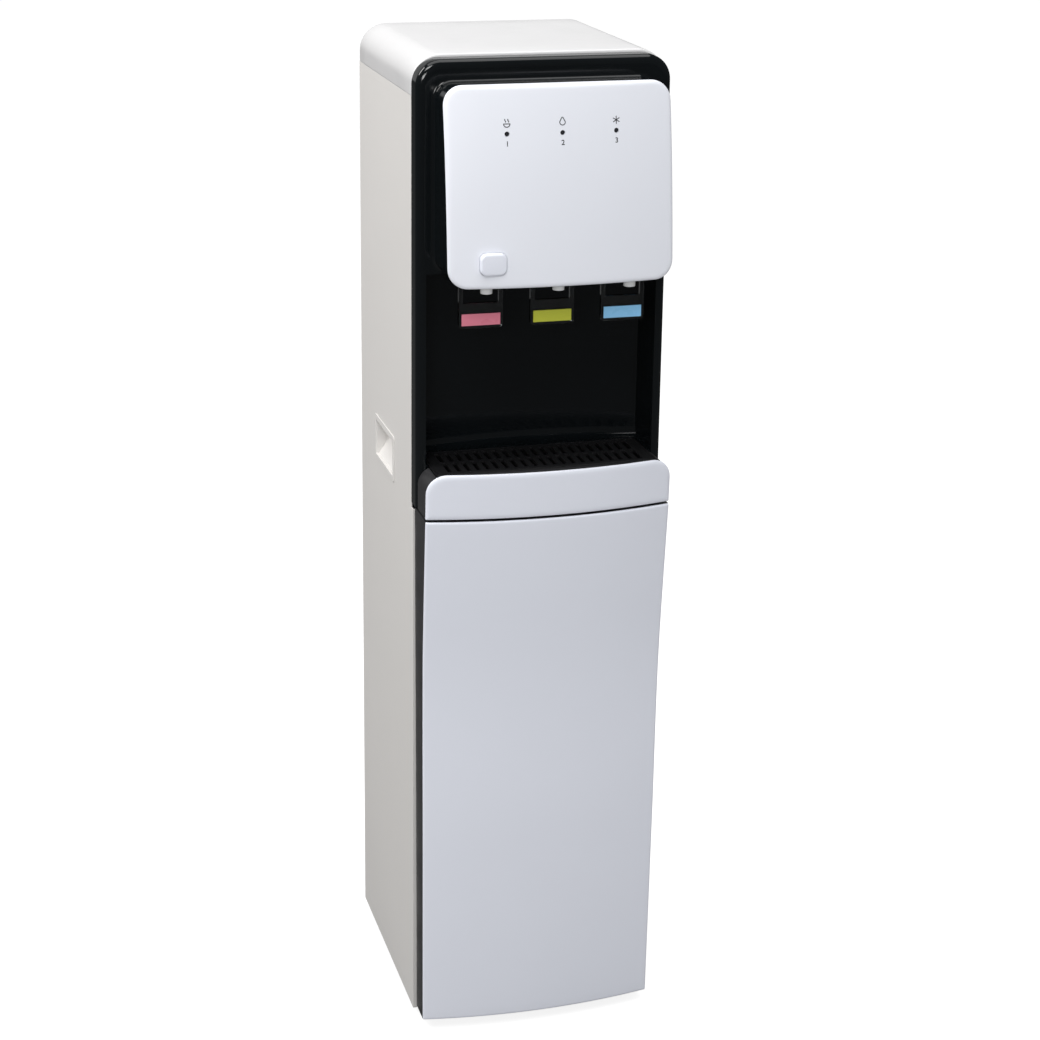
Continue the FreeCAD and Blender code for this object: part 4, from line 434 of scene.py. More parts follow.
def rounded_outline(left, right, low, high, radii, inset=0.0, arc=9, side=14, least=0.0003):
    """Front view of a rectangle with round corners, as an array of x and z.

    The radii are for the corners at the lower right, upper right, upper left
    and lower left. A corner is a quarter circle whose radius shrinks by the
    inset, and each side is divided evenly, so rings of any inset match.
    """
    left, right, low, high = left + inset, right - inset, low + inset, high - inset
    turn = np.linspace(0, math.pi / 2, arc + 1)
    share = np.linspace(0, 1, side + 2)[1:-1, None]
    arcs = []
    for index, (x, z, along, up) in enumerate(((right, low, -1, 1), (right, high, -1, -1),
                                               (left, high, 1, -1), (left, low, 1, 1))):
        radius = max(radii[index] - inset, least)
        angle = turn + (index - 1) * math.pi / 2
        arcs.append(np.stack([x + along * radius + radius * np.cos(angle),
                              z + up * radius + radius * np.sin(angle)], axis=1))
    parts = []
    for index, piece in enumerate(arcs):
        following = arcs[(index + 1) % 4][0]
        parts += [piece, piece[-1] + (following - piece[-1]) * share]
    return np.concatenate(parts)


def standing(flat, y):
    """Points of x and z that stand at a depth, as an array of x, y and z."""
    return np.stack([flat[:, 0], np.zeros(len(flat)) + y + SHIFT, flat[:, 1]], axis=1)


def drawn_in(ring, shares, centre=None):
    """Copies of a ring, each scaled by its share about the ring's middle or a given centre."""
    centre = ring.mean(axis=0) if centre is None else centre
    return [centre + (ring - centre) * share for share in shares]


print("depths count from", SHIFT, "m")

# %% [markdown]
# All rings of a piece have the same number of points, so four-sided faces join
# each ring to the next. Blender then merges what falls together and turns every
# face outwards, and edges that are meant to be crisp are marked for the shading.

# %% Rings to a mesh


def mesh_of_rings(name, rings, closed=True, within=2e-6):
    """Joins rings of points, an array of rings by points by 3, with four-sided faces.

    Face (i, j) has the corners (i, j), (i, j + 1), (i + 1, j + 1) and (i + 1, j).
    Points that fall together, as at a pole, are merged, and the faces turn outwards.
    """
    rings = np.asarray(rings, float)
    count, around = rings.shape[:2]
    number = np.arange(count * around).reshape(count, around)
    if closed:
        number = np.concatenate([number, number[:, :1]], axis=1)
    here, after = number[:, :-1], number[:, 1:]
    faces = np.stack([here[:-1], after[:-1], after[1:], here[1:]], axis=-1)
    mesh = bpy.data.meshes.new(name)
    mesh.from_pydata(rings.reshape(-1, 3).tolist(), [], faces.reshape(-1, 4).tolist())
    work = bmesh.new()
    work.from_mesh(mesh)
    bmesh.ops.remove_doubles(work, verts=work.verts, dist=within)
    bmesh.ops.recalc_face_normals(work, faces=work.faces)
    work.to_mesh(mesh)
    work.free()
    mesh.shade_smooth()
    return mesh


def keep_sharp(mesh, angle=38):
    """Faces that meet at more than the angle keep a crisp edge in the shading."""
    mesh.set_sharp_from_angle(angle=math.radians(angle))
    return mesh


print("rings join into faces with four corners")

# %% [markdown]
# A moulded edge rolls over as a quarter of an ellipse, and a bowed face bulges
# as an arc. A skin puts both together: its front is rings that roll at the rim
# and then shrink to the middle, and its rear closes it behind.

# %% Skins


def rolled(steps):
    """Steps of a quarter circle as pairs: 1 less the sine, and 1 less the cosine."""
    return [(1 - math.sin(a), 1 - math.cos(a)) for a in np.linspace(0, math.pi / 2, steps)]


def roll(inset, width, depth):
    """How far an edge has rolled back at an inset: a quarter of an ellipse."""
    share = np.clip(1 - inset / width, 0, 1)
    return depth * (1 - np.sqrt(1 - share ** 2))


def bulge(x, half, bow):
    """How far an arc between two ends stands out: it falls to zero at the ends."""
    radius = (half ** 2 + bow ** 2) / (2 * bow)
    return np.sqrt(radius ** 2 - np.asarray(x) ** 2) - (radius - bow)


def skin(name, outline, front, rear, width, depth, warp=lambda flat: flat, rings=22):
    """A closed skin: a front that rolls over at its edge, and a rear behind it.

    outline(inset) gives x and z. front(x, z) and rear(x, z) give how far back
    each point lies, and the roll adds to the front. Beyond the rolled rim the
    rings shrink evenly to the middle, where they close.
    """
    insets = width * (1 - np.cos(np.linspace(0, math.pi / 2, 9)))
    rim = [outline(inset) for inset in insets]
    centre, shares = rim[-1].mean(axis=0), np.linspace(1, 0, rings)[1:]

    def stood(flat, depth_at, back=0.0):
        """A warped ring at the depths of a surface."""
        flat = warp(flat)
        return standing(flat, depth_at(flat[:, 0], flat[:, 1]) + back)

    face = [stood(flat, front, roll(inset, width, depth)) for flat, inset in zip(rim, insets)]
    face += [stood(flat, front) for flat in drawn_in(rim[-1], shares, centre)]
    behind = [stood(flat, rear) for flat in rim[:1] + drawn_in(rim[0], shares, centre)]
    return mesh_of_rings(name, face[::-1] + behind)


print("half way over a rim of 2 mm, the edge has rolled back by",
      round(float(roll(0.001, 0.002, 0.002)) * 1000, 2), "mm")

# %% [markdown]
# Holes are cut with Blender's Boolean on exact settings: the cutter is a plain
# solid, and the cut is applied at once, so that no cutter stays in the scene.
# Pieces that are welded or moulded together become one mesh.

# %% Cutting and joining


def block_mesh(name, low, high):
    """A box between two corners, its corners worked out as every mix of low and high."""
    choice = np.array([[i & 1, (i >> 1) & 1, (i >> 2) & 1] for i in range(8)])
    corners = np.where(choice, high, low) + (0, SHIFT, 0)
    faces = [(0, 2, 3, 1), (4, 5, 7, 6), (0, 1, 5, 4), (2, 6, 7, 3), (0, 4, 6, 2), (1, 3, 7, 5)]
    mesh = bpy.data.meshes.new(name)
    mesh.from_pydata(corners.tolist(), [], faces)
    return mesh


def baked(thing):
    """The mesh of an object as its modifiers leave it; the object itself is taken away."""
    bpy.context.view_layer.update()
    mesh = bpy.data.meshes.new_from_object(thing.evaluated_get(
        bpy.context.evaluated_depsgraph_get()))
    bpy.data.objects.remove(thing)
    return mesh


def cut_holes(mesh, cutters):
    """The mesh less each cutter mesh, as a new mesh."""
    work = placed("cut_work", mesh)
    tools = [placed("cut_tool", cutter) for cutter in cutters]
    for tool in tools:
        modifier = work.modifiers.new("hole", "BOOLEAN")
        modifier.operation = "DIFFERENCE"
        modifier.solver = "EXACT"
        modifier.object = tool
    result = baked(work)
    result.name = mesh.name
    for tool in tools:
        bpy.data.objects.remove(tool)
    return result


def fused(name, parts):
    """Several meshes as one, smoothly shaded."""
    work = bmesh.new()
    for part in parts:
        work.from_mesh(part)
        bpy.data.meshes.remove(part)
    mesh = bpy.data.meshes.new(name)
    work.to_mesh(mesh)
    work.free()
    mesh.shade_smooth()
    return mesh


print("cutters and blocks count their depths from", SHIFT, "m")

# %% [markdown]
# The head cover is the piece that faces the user. It leans back towards its
# top and bulges across its width. A smooth cubic runs through the four heights
# that the CAD gives, and the rim rolls over as a moulded edge does.

# %% Shape of the head cover
HEAD_LOW, HEAD_HIGH, HEAD_HALF = 0.915, 1.126, 0.125
HEAD_REACH = np.array([0.098, 0.0915, 0.0825, 0.069])
HEAD_BOW, HEAD_CORNER, HEAD_ROLL = 0.011, 0.021, (0.0050, 0.0024)
HEAD_CURVE = np.polyfit(np.linspace(0, 1, 4), HEAD_REACH, 3)
SKIN_WALL = 0.003


def head_reach(z):
    """Side edge of the cover ahead of the cabinet: a cubic in height."""
    return np.polyval(HEAD_CURVE, (np.asarray(z) - HEAD_LOW) / (HEAD_HIGH - HEAD_LOW))


def head_front(x, z):
    """Depth of the cover's face: its side edge and the bulge of an arc across its width."""
    return -(head_reach(z) + bulge(x, HEAD_HALF, HEAD_BOW))


def head_back(x, z):
    """Depth of the cover's flat back, one wall behind its side edge."""
    return -(head_reach(z) - SKIN_WALL)


def head_outline(inset):
    """Front view of the cover: a rectangle with four equal round corners."""
    return rounded_outline(-HEAD_HALF, HEAD_HALF, HEAD_LOW, HEAD_HIGH, (HEAD_CORNER,) * 4, inset)


print("the cover leans back by", round((head_reach(HEAD_LOW) - head_reach(HEAD_HIGH)) * 1000, 1),
      "mm")

# %% [markdown]
# The cover has a round hole for each lamp and one with soft corners for the
# lock button. The button and its hole are drawn by one function, so that the gap
# between them is the same all round.

# %% Head cover
FIT_GAP, CUTTER_ROLL = 0.0002, (0.0001, 0.00001)
LAMP_X, LAMP_Z, LAMP_RADIUS = (-0.060, 0.0, 0.060), 1.0765, 0.0025
BUTTON_X, BUTTON_Z, BUTTON_WIDE, BUTTON_TALL = -0.0775, 0.9415, 0.029, 0.024
BUTTON_CORNER, HOLE_FRONT, HOLE_BACK = 0.0072, -0.13, -0.03


def circle(sides):
    """The cosines and sines of even steps once round a circle."""
    turn = np.linspace(0, 2 * math.pi, sides, endpoint=False)
    return np.cos(turn), np.sin(turn)


def rod_mesh(name, radius, start, length, sides=40):
    """A round cutter along Y: two rings of cosines and sines, closed at both ends."""
    cosine, sine = circle(sides)
    ring = radius * np.stack([cosine, 0 * cosine, sine], axis=1)
    near = np.array(start, float) + (0, SHIFT, 0)
    far = near + (0, length, 0)
    return mesh_of_rings(name, [near + 0 * ring, near + ring, far + ring, far + 0 * ring])


def button_skin(name, margin, front, rear, width, depth, crown=0.0):
    """The outline of the lock button, widened by a margin, as a block with rolled edges."""
    wide, tall = BUTTON_WIDE / 2 + margin, BUTTON_TALL / 2 + margin

    def swell(x, z):
        """The crown: it falls off as a parabola to both sides and up and down."""
        across = np.clip(1 - ((x - BUTTON_X) / wide) ** 2, 0, 1)
        return front - crown * across * np.clip(1 - ((z - BUTTON_Z) / tall) ** 2, 0, 1)

    return skin(name, lambda inset: rounded_outline(
        BUTTON_X - wide, BUTTON_X + wide, BUTTON_Z - tall, BUTTON_Z + tall,
        (BUTTON_CORNER + margin,) * 4, inset), swell, lambda x, z: rear, width, depth, rings=10)


cover_mesh = skin("head_cover_skin", head_outline, head_front, head_back, *HEAD_ROLL)
lamp_holes = [rod_mesh("lamp_hole", LAMP_RADIUS + FIT_GAP, (x, -0.12, LAMP_Z), 0.09)
              for x in LAMP_X]
button_hole = button_skin("button_hole", 2 * FIT_GAP, HOLE_FRONT, HOLE_BACK, *CUTTER_ROLL)
cover_mesh = keep_sharp(cut_holes(cover_mesh, lamp_holes + [button_hole]))
make_piece("head_cover_skin", cover_mesh, "cabinet", "pale_cover", "head_cover", look="pale_head")
print("head cover:", len(cover_mesh.polygons), "faces")

# %% [markdown]
# Behind the cover stands the black hood, a glossy moulding like a short pipe
# with round corners. It grows out of the front frame with a hollow quarter
# circle, which mirrors the lamps as short bright arcs. It is drawn as rings
# too: out along its outside to the cover, and back along its inside. Its floor
# has a window for each lever.

# %% Hood
HOOD_INSET, HOOD_WALL, HOOD_REAR, HOOD_ROOT = 0.003, 0.003, -0.024, 0.0045
TAP_X = {"hot": -0.08, "room": 0.0, "cold": 0.08}
WINDOW_HALF, WINDOW_Y, WINDOW_Z = 0.028, (-0.093, -0.039), (0.910, 0.927)
POST_X, POST_HALF, POST_Y, POST_Z = 0.072, 0.003, (-0.0624, -0.0574), (1.0835, 1.1215)
SWITCH_SEAT = ((-0.121, -0.0888, 0.9285), (-0.092, -0.0808, 0.9365))


def hood_ring(inset, share, ahead=0.0):
    """The hood's outline, between a distance ahead of the front frame and the cover's back.

    Its lower side stays level, because the bay is open under it.
    """
    flat = head_outline(inset)
    start = HOOD_REAR - ahead
    y = start + (head_back(*flat.T) - HOOD_REAR + ahead) * share
    flat[:, 1] = np.maximum(flat[:, 1], HEAD_LOW + HOOD_INSET)
    return standing(flat, y)


def beside(x, half, depths, heights):
    """The low and the high corner of a block that lies evenly about a place in the width."""
    return (x - half, depths[0], heights[0]), (x + half, depths[1], heights[1])


hood_rings = [hood_ring(HOOD_INSET - HOOD_ROOT * aside, 0, HOOD_ROOT * onward)
              for aside, onward in rolled(9)]
hood_rings += [hood_ring(HOOD_INSET, share, HOOD_ROOT) for share in np.linspace(0, 1, 7)[1:]]
hood_rings += [hood_ring(HOOD_INSET + HOOD_WALL, share) for share in np.linspace(1, 0, 7)]
hood_mesh = cut_holes(mesh_of_rings("head_hood", hood_rings + hood_rings[:1]), [
    block_mesh("lever_window", *beside(x, WINDOW_HALF, WINDOW_Y, WINDOW_Z))
    for x in TAP_X.values()])
hood_blocks = [beside(side * POST_X, POST_HALF, POST_Y, POST_Z) for side in (-1, 1)]
hood_mesh = fused("head_hood", [hood_mesh] + [block_mesh("block", *corners)
                                              for corners in hood_blocks + [SWITCH_SEAT]])
make_piece("head_hood", keep_sharp(hood_mesh), "cabinet", "black_gloss", "head_body")
print("hood:", len(hood_mesh.polygons), "faces")

# %% [markdown]
# The lock button stands a little proud of the cover and has a crowned face, so
# that a thumb finds it. It is the same skin as the hole that it sits in, drawn
# a little smaller.

# %% Lock button
BUTTON_FRONT, BUTTON_BACK, BUTTON_ROLL, BUTTON_CROWN = -0.1068, -0.0948, (0.0026, 0.0022), 0.0006
button_mesh = button_skin("lock_button_cap", 0.0, BUTTON_FRONT, BUTTON_BACK, *BUTTON_ROLL,
                          BUTTON_CROWN)
make_piece("lock_button_cap", keep_sharp(button_mesh, 50), "lock_button", "pale_cover",
           "lock_button")
print("lock button:", len(button_mesh.polygons), "faces")

# %% [markdown]
# Apron and door are one bowed face, parted by an open seam. The door widens
# towards its top and kicks forward there. Its rim has a tight radius, while
# the apron rolls over generously at its sides and top.

# %% Shape of apron and door
APRON_LOW, APRON_HIGH, APRON_HALF = 0.648, 0.700, 0.141
APRON_REACH, APRON_LEAN, APRON_BOW = 0.0645, 0.0025, 0.017
DOOR_LOW, DOOR_HIGH, DOOR_FOOT_HALF = 0.014, 0.645, 0.1385
DOOR_LEVELS = np.array([0.014, 0.250, 0.480, 0.565, 0.645])
DOOR_REACH = np.array([0.0435, 0.047, 0.050, 0.057, 0.0645])
DOOR_FOOT_BOW, DOOR_BOW_GROWTH = 0.013, 0.004


def smooth_through(levels, values, at):
    """A smooth line through given points: each span is a cubic that keeps its end slopes."""
    slope = np.gradient(values, levels)
    index = np.clip(np.searchsorted(levels, at) - 1, 0, len(levels) - 2)
    span = levels[index + 1] - levels[index]
    t = (at - levels[index]) / span
    first, last = values[index], values[index + 1]
    return ((2 * t ** 3 - 3 * t ** 2 + 1) * first + (t ** 3 - 2 * t ** 2 + t) * span * slope[index]
            + (3 * t ** 2 - 2 * t ** 3) * last + (t ** 3 - t ** 2) * span * slope[index + 1])


def apron_front(x, z):
    """Depth of the apron's face: it leans forward as it rises and bulges as an arc."""
    rise = (z - APRON_LOW) / (APRON_HIGH - APRON_LOW)
    return -(APRON_REACH + APRON_LEAN * rise + bulge(x, APRON_HALF, APRON_BOW))


def door_share(z):
    """How far up the door a height lies, from 0 at its foot to 1 at its top."""
    return (z - DOOR_LOW) / (DOOR_HIGH - DOOR_LOW)


def door_half(z):
    """Half the door's width: it grows evenly from the foot to the apron's width."""
    return DOOR_FOOT_HALF + (APRON_HALF - DOOR_FOOT_HALF) * door_share(z)


def door_front(x, z):
    """Depth of the door's face: its bulge grows from 13 mm at the foot to 17 mm at the top."""
    bow = DOOR_FOOT_BOW + DOOR_BOW_GROWTH * door_share(z)
    return -(smooth_through(DOOR_LEVELS, DOOR_REACH, z) + bulge(x, door_half(z), bow))


def door_warp(flat):
    """Narrows the rectangle towards the foot of the door."""
    return np.stack([flat[:, 0] * door_half(flat[:, 1]) / APRON_HALF, flat[:, 1]], axis=1)


print("the door's top stands", round(1000 * (DOOR_REACH[-1] - DOOR_REACH[0]), 1),
      "mm ahead of its foot")

# %% [markdown]
# Both are thin skins with the same wall. The dark housing of the tray fills the
# space behind the apron up to its edge, and shows as a thin lip there.

# %% Apron and door
SEAM_CORNER, APRON_CORNER = 0.0012, 0.023
APRON_ROLL, DOOR_ROLL, LIP_ROLL = (0.006, 0.0022), (0.003, 0.0015), (0.0005, 0.0002)
LIP_INSET, LIP_LOW, LIP_HIGH, LIP_CORNER = 0.0015, 0.0005, 0.003, 0.020
LIP_BEHIND, LIP_BACK = 0.0032, -0.0615
apron_mesh = skin(
    "apron_skin",
    lambda inset: rounded_outline(-APRON_HALF, APRON_HALF, APRON_LOW, APRON_HIGH,
                                  (SEAM_CORNER, APRON_CORNER, APRON_CORNER, SEAM_CORNER), inset),
    apron_front, lambda x, z: apron_front(x, z) + SKIN_WALL, *APRON_ROLL)
make_piece("apron_skin", keep_sharp(apron_mesh, 50), "cabinet", "pale_cover", "apron")
door_mesh = skin(
    "door_skin_bowed",
    lambda inset: rounded_outline(-APRON_HALF, APRON_HALF, DOOR_LOW, DOOR_HIGH,
                                  (SEAM_CORNER,) * 4, inset, side=40),
    door_front, lambda x, z: door_front(x, z) + SKIN_WALL, *DOOR_ROLL, door_warp, rings=30)
make_piece("door_skin_bowed", keep_sharp(door_mesh, 50), "door", "pale_cover", "door_skin")
lip_mesh = skin(
    "housing_lip",
    lambda inset: rounded_outline(-APRON_HALF + LIP_INSET, APRON_HALF - LIP_INSET,
                                  APRON_LOW + LIP_LOW, APRON_HIGH - LIP_HIGH,
                                  (SEAM_CORNER, LIP_CORNER, LIP_CORNER, SEAM_CORNER), inset),
    lambda x, z: apron_front(x, z) + LIP_BEHIND, lambda x, z: LIP_BACK, *LIP_ROLL)
make_piece("housing_lip", keep_sharp(lip_mesh, 50), "cabinet", "dark_grey")
print("apron:", len(apron_mesh.polygons), "faces, door:", len(door_mesh.polygons), "faces")

# %% [markdown]
# The front frame is a deep black moulding. It is an open tray seen from the
# back: rings run from the middle of its face, over a rounded edge and along
# the flange to its rear edge, and back again inside. Bay and tap inlets are cut.

# %% Front frame
FASCIA_HALF, FASCIA_LOW, FASCIA_HIGH = 0.1425, APRON_LOW, 1.1465
FASCIA_RADIUS, FASCIA_FOOT_RADIUS = 0.028, 0.0005
FASCIA_FRONT, FASCIA_REAR = HOOD_REAR, -0.0004
BAY_HALF, WELL_FLOOR, CUT_Y = 0.1315, 0.669, (-0.05, 0.001)
INLET_HALF, INLET_Z = 0.0064, (0.9236, 0.9364)


def fascia_ring(inset, back):
    """The frame's outline seen from the front, drawn in by an inset, at a depth."""
    return standing(rounded_outline(
        -FASCIA_HALF, FASCIA_HALF, FASCIA_LOW, FASCIA_HIGH,
        (FASCIA_FOOT_RADIUS, FASCIA_RADIUS, FASCIA_RADIUS, FASCIA_FOOT_RADIUS), inset, arc=16),
        back)


def fascia_mesh(edge=0.010, deep=0.006, wall=SKIN_WALL, fillet=0.002):
    """Face, rolled edge, flange, rear rim and the inside of the frame, ring by ring.

    The roll is a quarter of an ellipse, wider on the face than it is deep.
    """
    rings = drawn_in(fascia_ring(edge, FASCIA_FRONT), (0, 0.25, 0.5, 0.75))
    rings += [fascia_ring(edge * aside, FASCIA_FRONT + deep * onward)
              for aside, onward in rolled(11)]
    rings += [fascia_ring(0, FASCIA_REAR), fascia_ring(wall, FASCIA_REAR),
              fascia_ring(wall, FASCIA_FRONT + wall + fillet),
              fascia_ring(wall + fillet, FASCIA_FRONT + wall)]
    return mesh_of_rings("front_frame", rings + drawn_in(rings[-1], (0.66, 0.33, 0)))


front_cuts = [block_mesh("bay_cut", *beside(0, BAY_HALF, CUT_Y, (WELL_FLOOR, HEAD_LOW)))]
front_cuts += [block_mesh("inlet_cut", *beside(x, INLET_HALF, CUT_Y, INLET_Z))
               for x in TAP_X.values()]
front_mesh = cut_holes(fascia_mesh(), front_cuts)
make_piece("front_frame", keep_sharp(front_mesh, 30), "cabinet", "black_gloss", "front_fascia")
print("front frame:", len(front_mesh.polygons), "faces")

# %% [markdown]
# The lid is a thin shell with long rounded shoulders. One surface runs over
# its profile from side to side, its two ends are folded down with a small
# radius, and Solidify gives it a wall towards the inside.

# %% Lid
LID_LOW, LID_HIGH, LID_HALF, LID_DEEP = 1.106, 1.150, 0.1425, 0.270


def lid_mesh(shoulder=0.031, end=0.003, rim=0.0008):
    """Rings from the middle of the front end, over the top, to the middle of the rear end.

    A ring is the arch of the lid, drawn in by an inset. At both ends the
    insets follow a quarter circle and then shrink to the middle of the seam.
    """
    foot = np.array([0, 0, LID_LOW])

    def arch(inset, y):
        """One arch at a depth: two quarter circles, the top between them and two short sides."""
        radius = shoulder - inset
        half, high = LID_HALF - inset, LID_HIGH - inset
        swing = np.linspace(math.pi / 2, 0, 14)
        right = np.stack([half - radius + radius * np.cos(swing),
                          high - radius + radius * np.sin(swing)], axis=1)
        right = np.concatenate([right, [[half, LID_LOW + rim], [half, LID_LOW]]])
        across = np.linspace(-1, 1, 12)[1:-1, None] * (half - radius, 0) + (0, high)
        return standing(np.concatenate([right[::-1] * (-1, 1), across, right]), y)

    def closing(ring, shares):
        """Copies of an arch that shrink towards the middle of its foot."""
        return [foot + (ring - foot) * (share, 1, share) for share in shares]

    front = [arch(end * aside, end * onward) for aside, onward in rolled(6)]
    rear = [arch(end * aside, LID_DEEP - end * onward) for aside, onward in rolled(6)]
    steps = [arch(0, y) for y in np.linspace(end, LID_DEEP - end, 8)[1:-1]]
    rings = closing(front[0], (0, 0.35, 0.7)) + front + steps
    rings += rear[::-1] + closing(rear[0], (0.7, 0.35, 0))
    return mesh_of_rings("lid_shell", rings, closed=False)


shell = make_piece("lid_shell", keep_sharp(lid_mesh(), 60), "cabinet", "lid_white", "top_cover")
wall = shell.modifiers.new("wall", "SOLIDIFY")
wall.thickness = 0.0025
wall.offset = -1
print("lid:", len(shell.data.polygons), "faces before it gets its wall")

# %% [markdown]
# The wall behind the cups is a glossy black curve with a ledge behind the
# grille, two side walls and a well for the tray. It is a block, drawn as a loop
# of the side view at each place across the width, less the space of the bay,
# whose loops turn through a soft corner from the ledge to the wall.

# %% Shape of the bay
BAY_SIDE_BACK, BAY_DISH, BAY_WALL = 0.034, 0.016, 0.0025
GRILLE_TOP, WELL_HALF, WELL_BACK = 0.697, 0.128, 0.026
BAY_FRONT, CUT_AHEAD, CUT_ABOVE = FASCIA_FRONT + SKIN_WALL, 0.01, 0.002


def loft_across(name, half, loop_at, count=49):
    """A solid from a closed loop of y and z at each x from side to side, closed at both ends."""
    rings = []
    for x in np.linspace(-half, half, count):
        loop = loop_at(x)
        rings.append(np.stack([np.full(len(loop), x), loop[:, 0] + SHIFT, loop[:, 1]], axis=1))
    return mesh_of_rings(name, drawn_in(rings[0], (0,)) + rings + drawn_in(rings[-1], (0,)))


def bay_depth(x, half):
    """Where the curved wall stands: the dish adds the bulge of an arc in the middle."""
    return BAY_SIDE_BACK + bulge(min(abs(x), half), half, BAY_DISH)


def bay_block_loop(x):
    """Side view of the moulding's outside: the well below and the curved wall above."""
    deep = bay_depth(x, BAY_HALF + BAY_WALL) + BAY_WALL
    floor, ledge, top = WELL_FLOOR - BAY_WALL, GRILLE_TOP - BAY_WALL, HEAD_LOW + BAY_WALL
    back = WELL_BACK + BAY_WALL
    return np.array([(BAY_FRONT, floor), (back, floor), (back, ledge), (deep, ledge),
                     (deep, top), (BAY_FRONT, top)])


def bay_space_loop(x, corner=0.012):
    """Side view of the space: a quarter circle leads from the ledge to the curved wall."""
    deep = bay_depth(x, BAY_HALF)
    turn = np.linspace(0, math.pi / 2, 10)
    bend = np.stack([deep - corner + corner * np.sin(turn),
                     GRILLE_TOP + corner * (1 - np.cos(turn))], axis=1)
    return np.concatenate([[(BAY_FRONT - CUT_AHEAD, GRILLE_TOP)], bend,
                           [(deep, HEAD_LOW), (BAY_FRONT - CUT_AHEAD, HEAD_LOW)]])


print("the dish is", round((bay_depth(0, BAY_HALF) - BAY_SIDE_BACK) * 1000, 1), "mm deep")

# %% [markdown]
# The block less the space of the bay and the well leaves walls of even thickness.

# %% Bay wall
bay_mesh = cut_holes(loft_across("bay_wall", BAY_HALF + BAY_WALL, bay_block_loop), [
    loft_across("bay_space", BAY_HALF, bay_space_loop),
    block_mesh("well_space", (-WELL_HALF, BAY_FRONT - CUT_AHEAD, WELL_FLOOR),
               (WELL_HALF, WELL_BACK, GRILLE_TOP + CUT_ABOVE))])
make_piece("bay_wall", keep_sharp(bay_mesh), "cabinet", "black_gloss", "bay_panel")
print("bay wall:", len(bay_mesh.polygons), "faces")

# %% [markdown]
# The printed marks lie on the bowed cover. A line of a mark is a ribbon: two
# rows of points, half a width to either side of the line.

# %% Ribbons on the cover


def on_cover(flat, lift=0.00008):
    """Puts points of x and z on the face of the cover, a hair in front of it."""
    return standing(flat, head_front(flat[:, 0], flat[:, 1]) - lift)


def stroke(points, width=0.0009):
    """A ribbon along a line: each point gives two, half a width to either side."""
    points = np.asarray(points, float)
    way = np.gradient(points, axis=0)
    way /= np.linalg.norm(way, axis=1, keepdims=True)
    side = np.stack([-way[:, 1], way[:, 0]], axis=1) * width / 2
    return points + side, points - side


def marks_mesh(name, strokes):
    """All ribbons of the marks in one mesh, laid on the cover."""
    points, faces = [], []
    for line in strokes:
        left, right = stroke(line)
        first = sum(len(part) for part in points)
        count = len(left)
        points += [left, right]
        index = np.arange(count - 1)
        faces += np.stack([first + index, first + index + 1, first + count + index + 1,
                           first + count + index], axis=1).tolist()
    mesh = bpy.data.meshes.new(name)
    mesh.from_pydata(on_cover(np.concatenate(points)).tolist(), [], faces)
    return mesh


print("a ribbon along three points has", 2 * len(stroke([(0, 0), (0, 1), (1, 1)])[0]), "points")

# %% [markdown]
# The marks are small: a cup, a drop and a snow star over the lamps and the plain
# numbers 1, 2 and 3 under them. A number is a letter mesh bent onto the cover.

# %% Marks on the head


def mark_strokes(above=0.0110):
    """A steaming cup, a drop and a six-armed star, each about 8 mm high.

    The cup is a half circle under a level line, and its steam is two sines.
    The drop is a circle whose reach grows with a power of the cosine. The star
    is three bars through one middle, a sixth of a turn apart.
    """
    z = LAMP_Z + above
    turn, rise = np.linspace(-math.pi, 0, 9), np.linspace(0, 1, 7)
    bowl, rim, brim = 0.0034, 0.0038, z - 0.0005
    steam, apart, sway, tall = z + 0.0011, 0.0016, 0.0006, 0.0034
    x = LAMP_X[0]
    lines = [np.stack([x + bowl * np.cos(turn), brim + bowl * np.sin(turn)], axis=1),
             [[x - rim, brim], [x + rim, brim]]]
    for dx in (-apart, apart):
        lines.append(np.stack([x + dx + sway * np.sin(rise * 2 * math.pi),
                               steam + tall * rise], axis=1))
    turn = np.linspace(0, 2 * math.pi, 25)
    tip, drop, point, pinch = np.clip(np.cos(turn), 0, 1), 0.0031, 0.0019, 0.3
    reach = drop + point * tip ** 6
    lines.append(np.stack([LAMP_X[1] + reach * np.sin(turn) * (1 - pinch * tip),
                           z + reach * np.cos(turn)], axis=1))
    middle, arm = np.array([LAMP_X[2], z]), 0.0042
    for a in np.arange(3) * math.pi / 3:
        way = np.array([math.sin(a), math.cos(a)]) * arm
        lines.append([middle - way, middle + way])
    return lines


def number_mesh(text, x, z, size=0.0075, bold=0.0001):
    """A number as a flat mesh, bent onto the cover."""
    curve = bpy.data.curves.new("number_" + text, "FONT")
    curve.body = text
    curve.size = size
    curve.offset = bold
    curve.align_x = "CENTER"
    mesh = baked(placed("number_" + text, curve))
    flat = np.zeros(len(mesh.vertices) * 3)
    mesh.vertices.foreach_get("co", flat)
    bent = on_cover(flat.reshape(-1, 3)[:, :2] + (x, z))
    mesh.vertices.foreach_set("co", bent.ravel())
    mesh.update()
    return mesh


BELOW_LAMPS = 0.0125
finish("print_grey", (0.02, 0.02, 0.024), 0.2, (0.4, 0.5), 1200, 0.05)
marks = {"lamp_marks": marks_mesh("lamp_marks", mark_strokes())}
for text, x in zip("123", LAMP_X):
    marks["lamp_number_" + text] = number_mesh(text, x, LAMP_Z - BELOW_LAMPS)
for name, mesh in marks.items():
    make_piece(name, mesh, "cabinet", "black_matte", look="print_grey")
print(len(marks), "pieces with marks")

# %% [markdown]
# The feet, the springs and the condenser are round in reality. A profile
# turned about an axis gives the feet, and a circle carried along a path gives
# the spring wire and the condenser tube.

# %% Turned and carried shapes


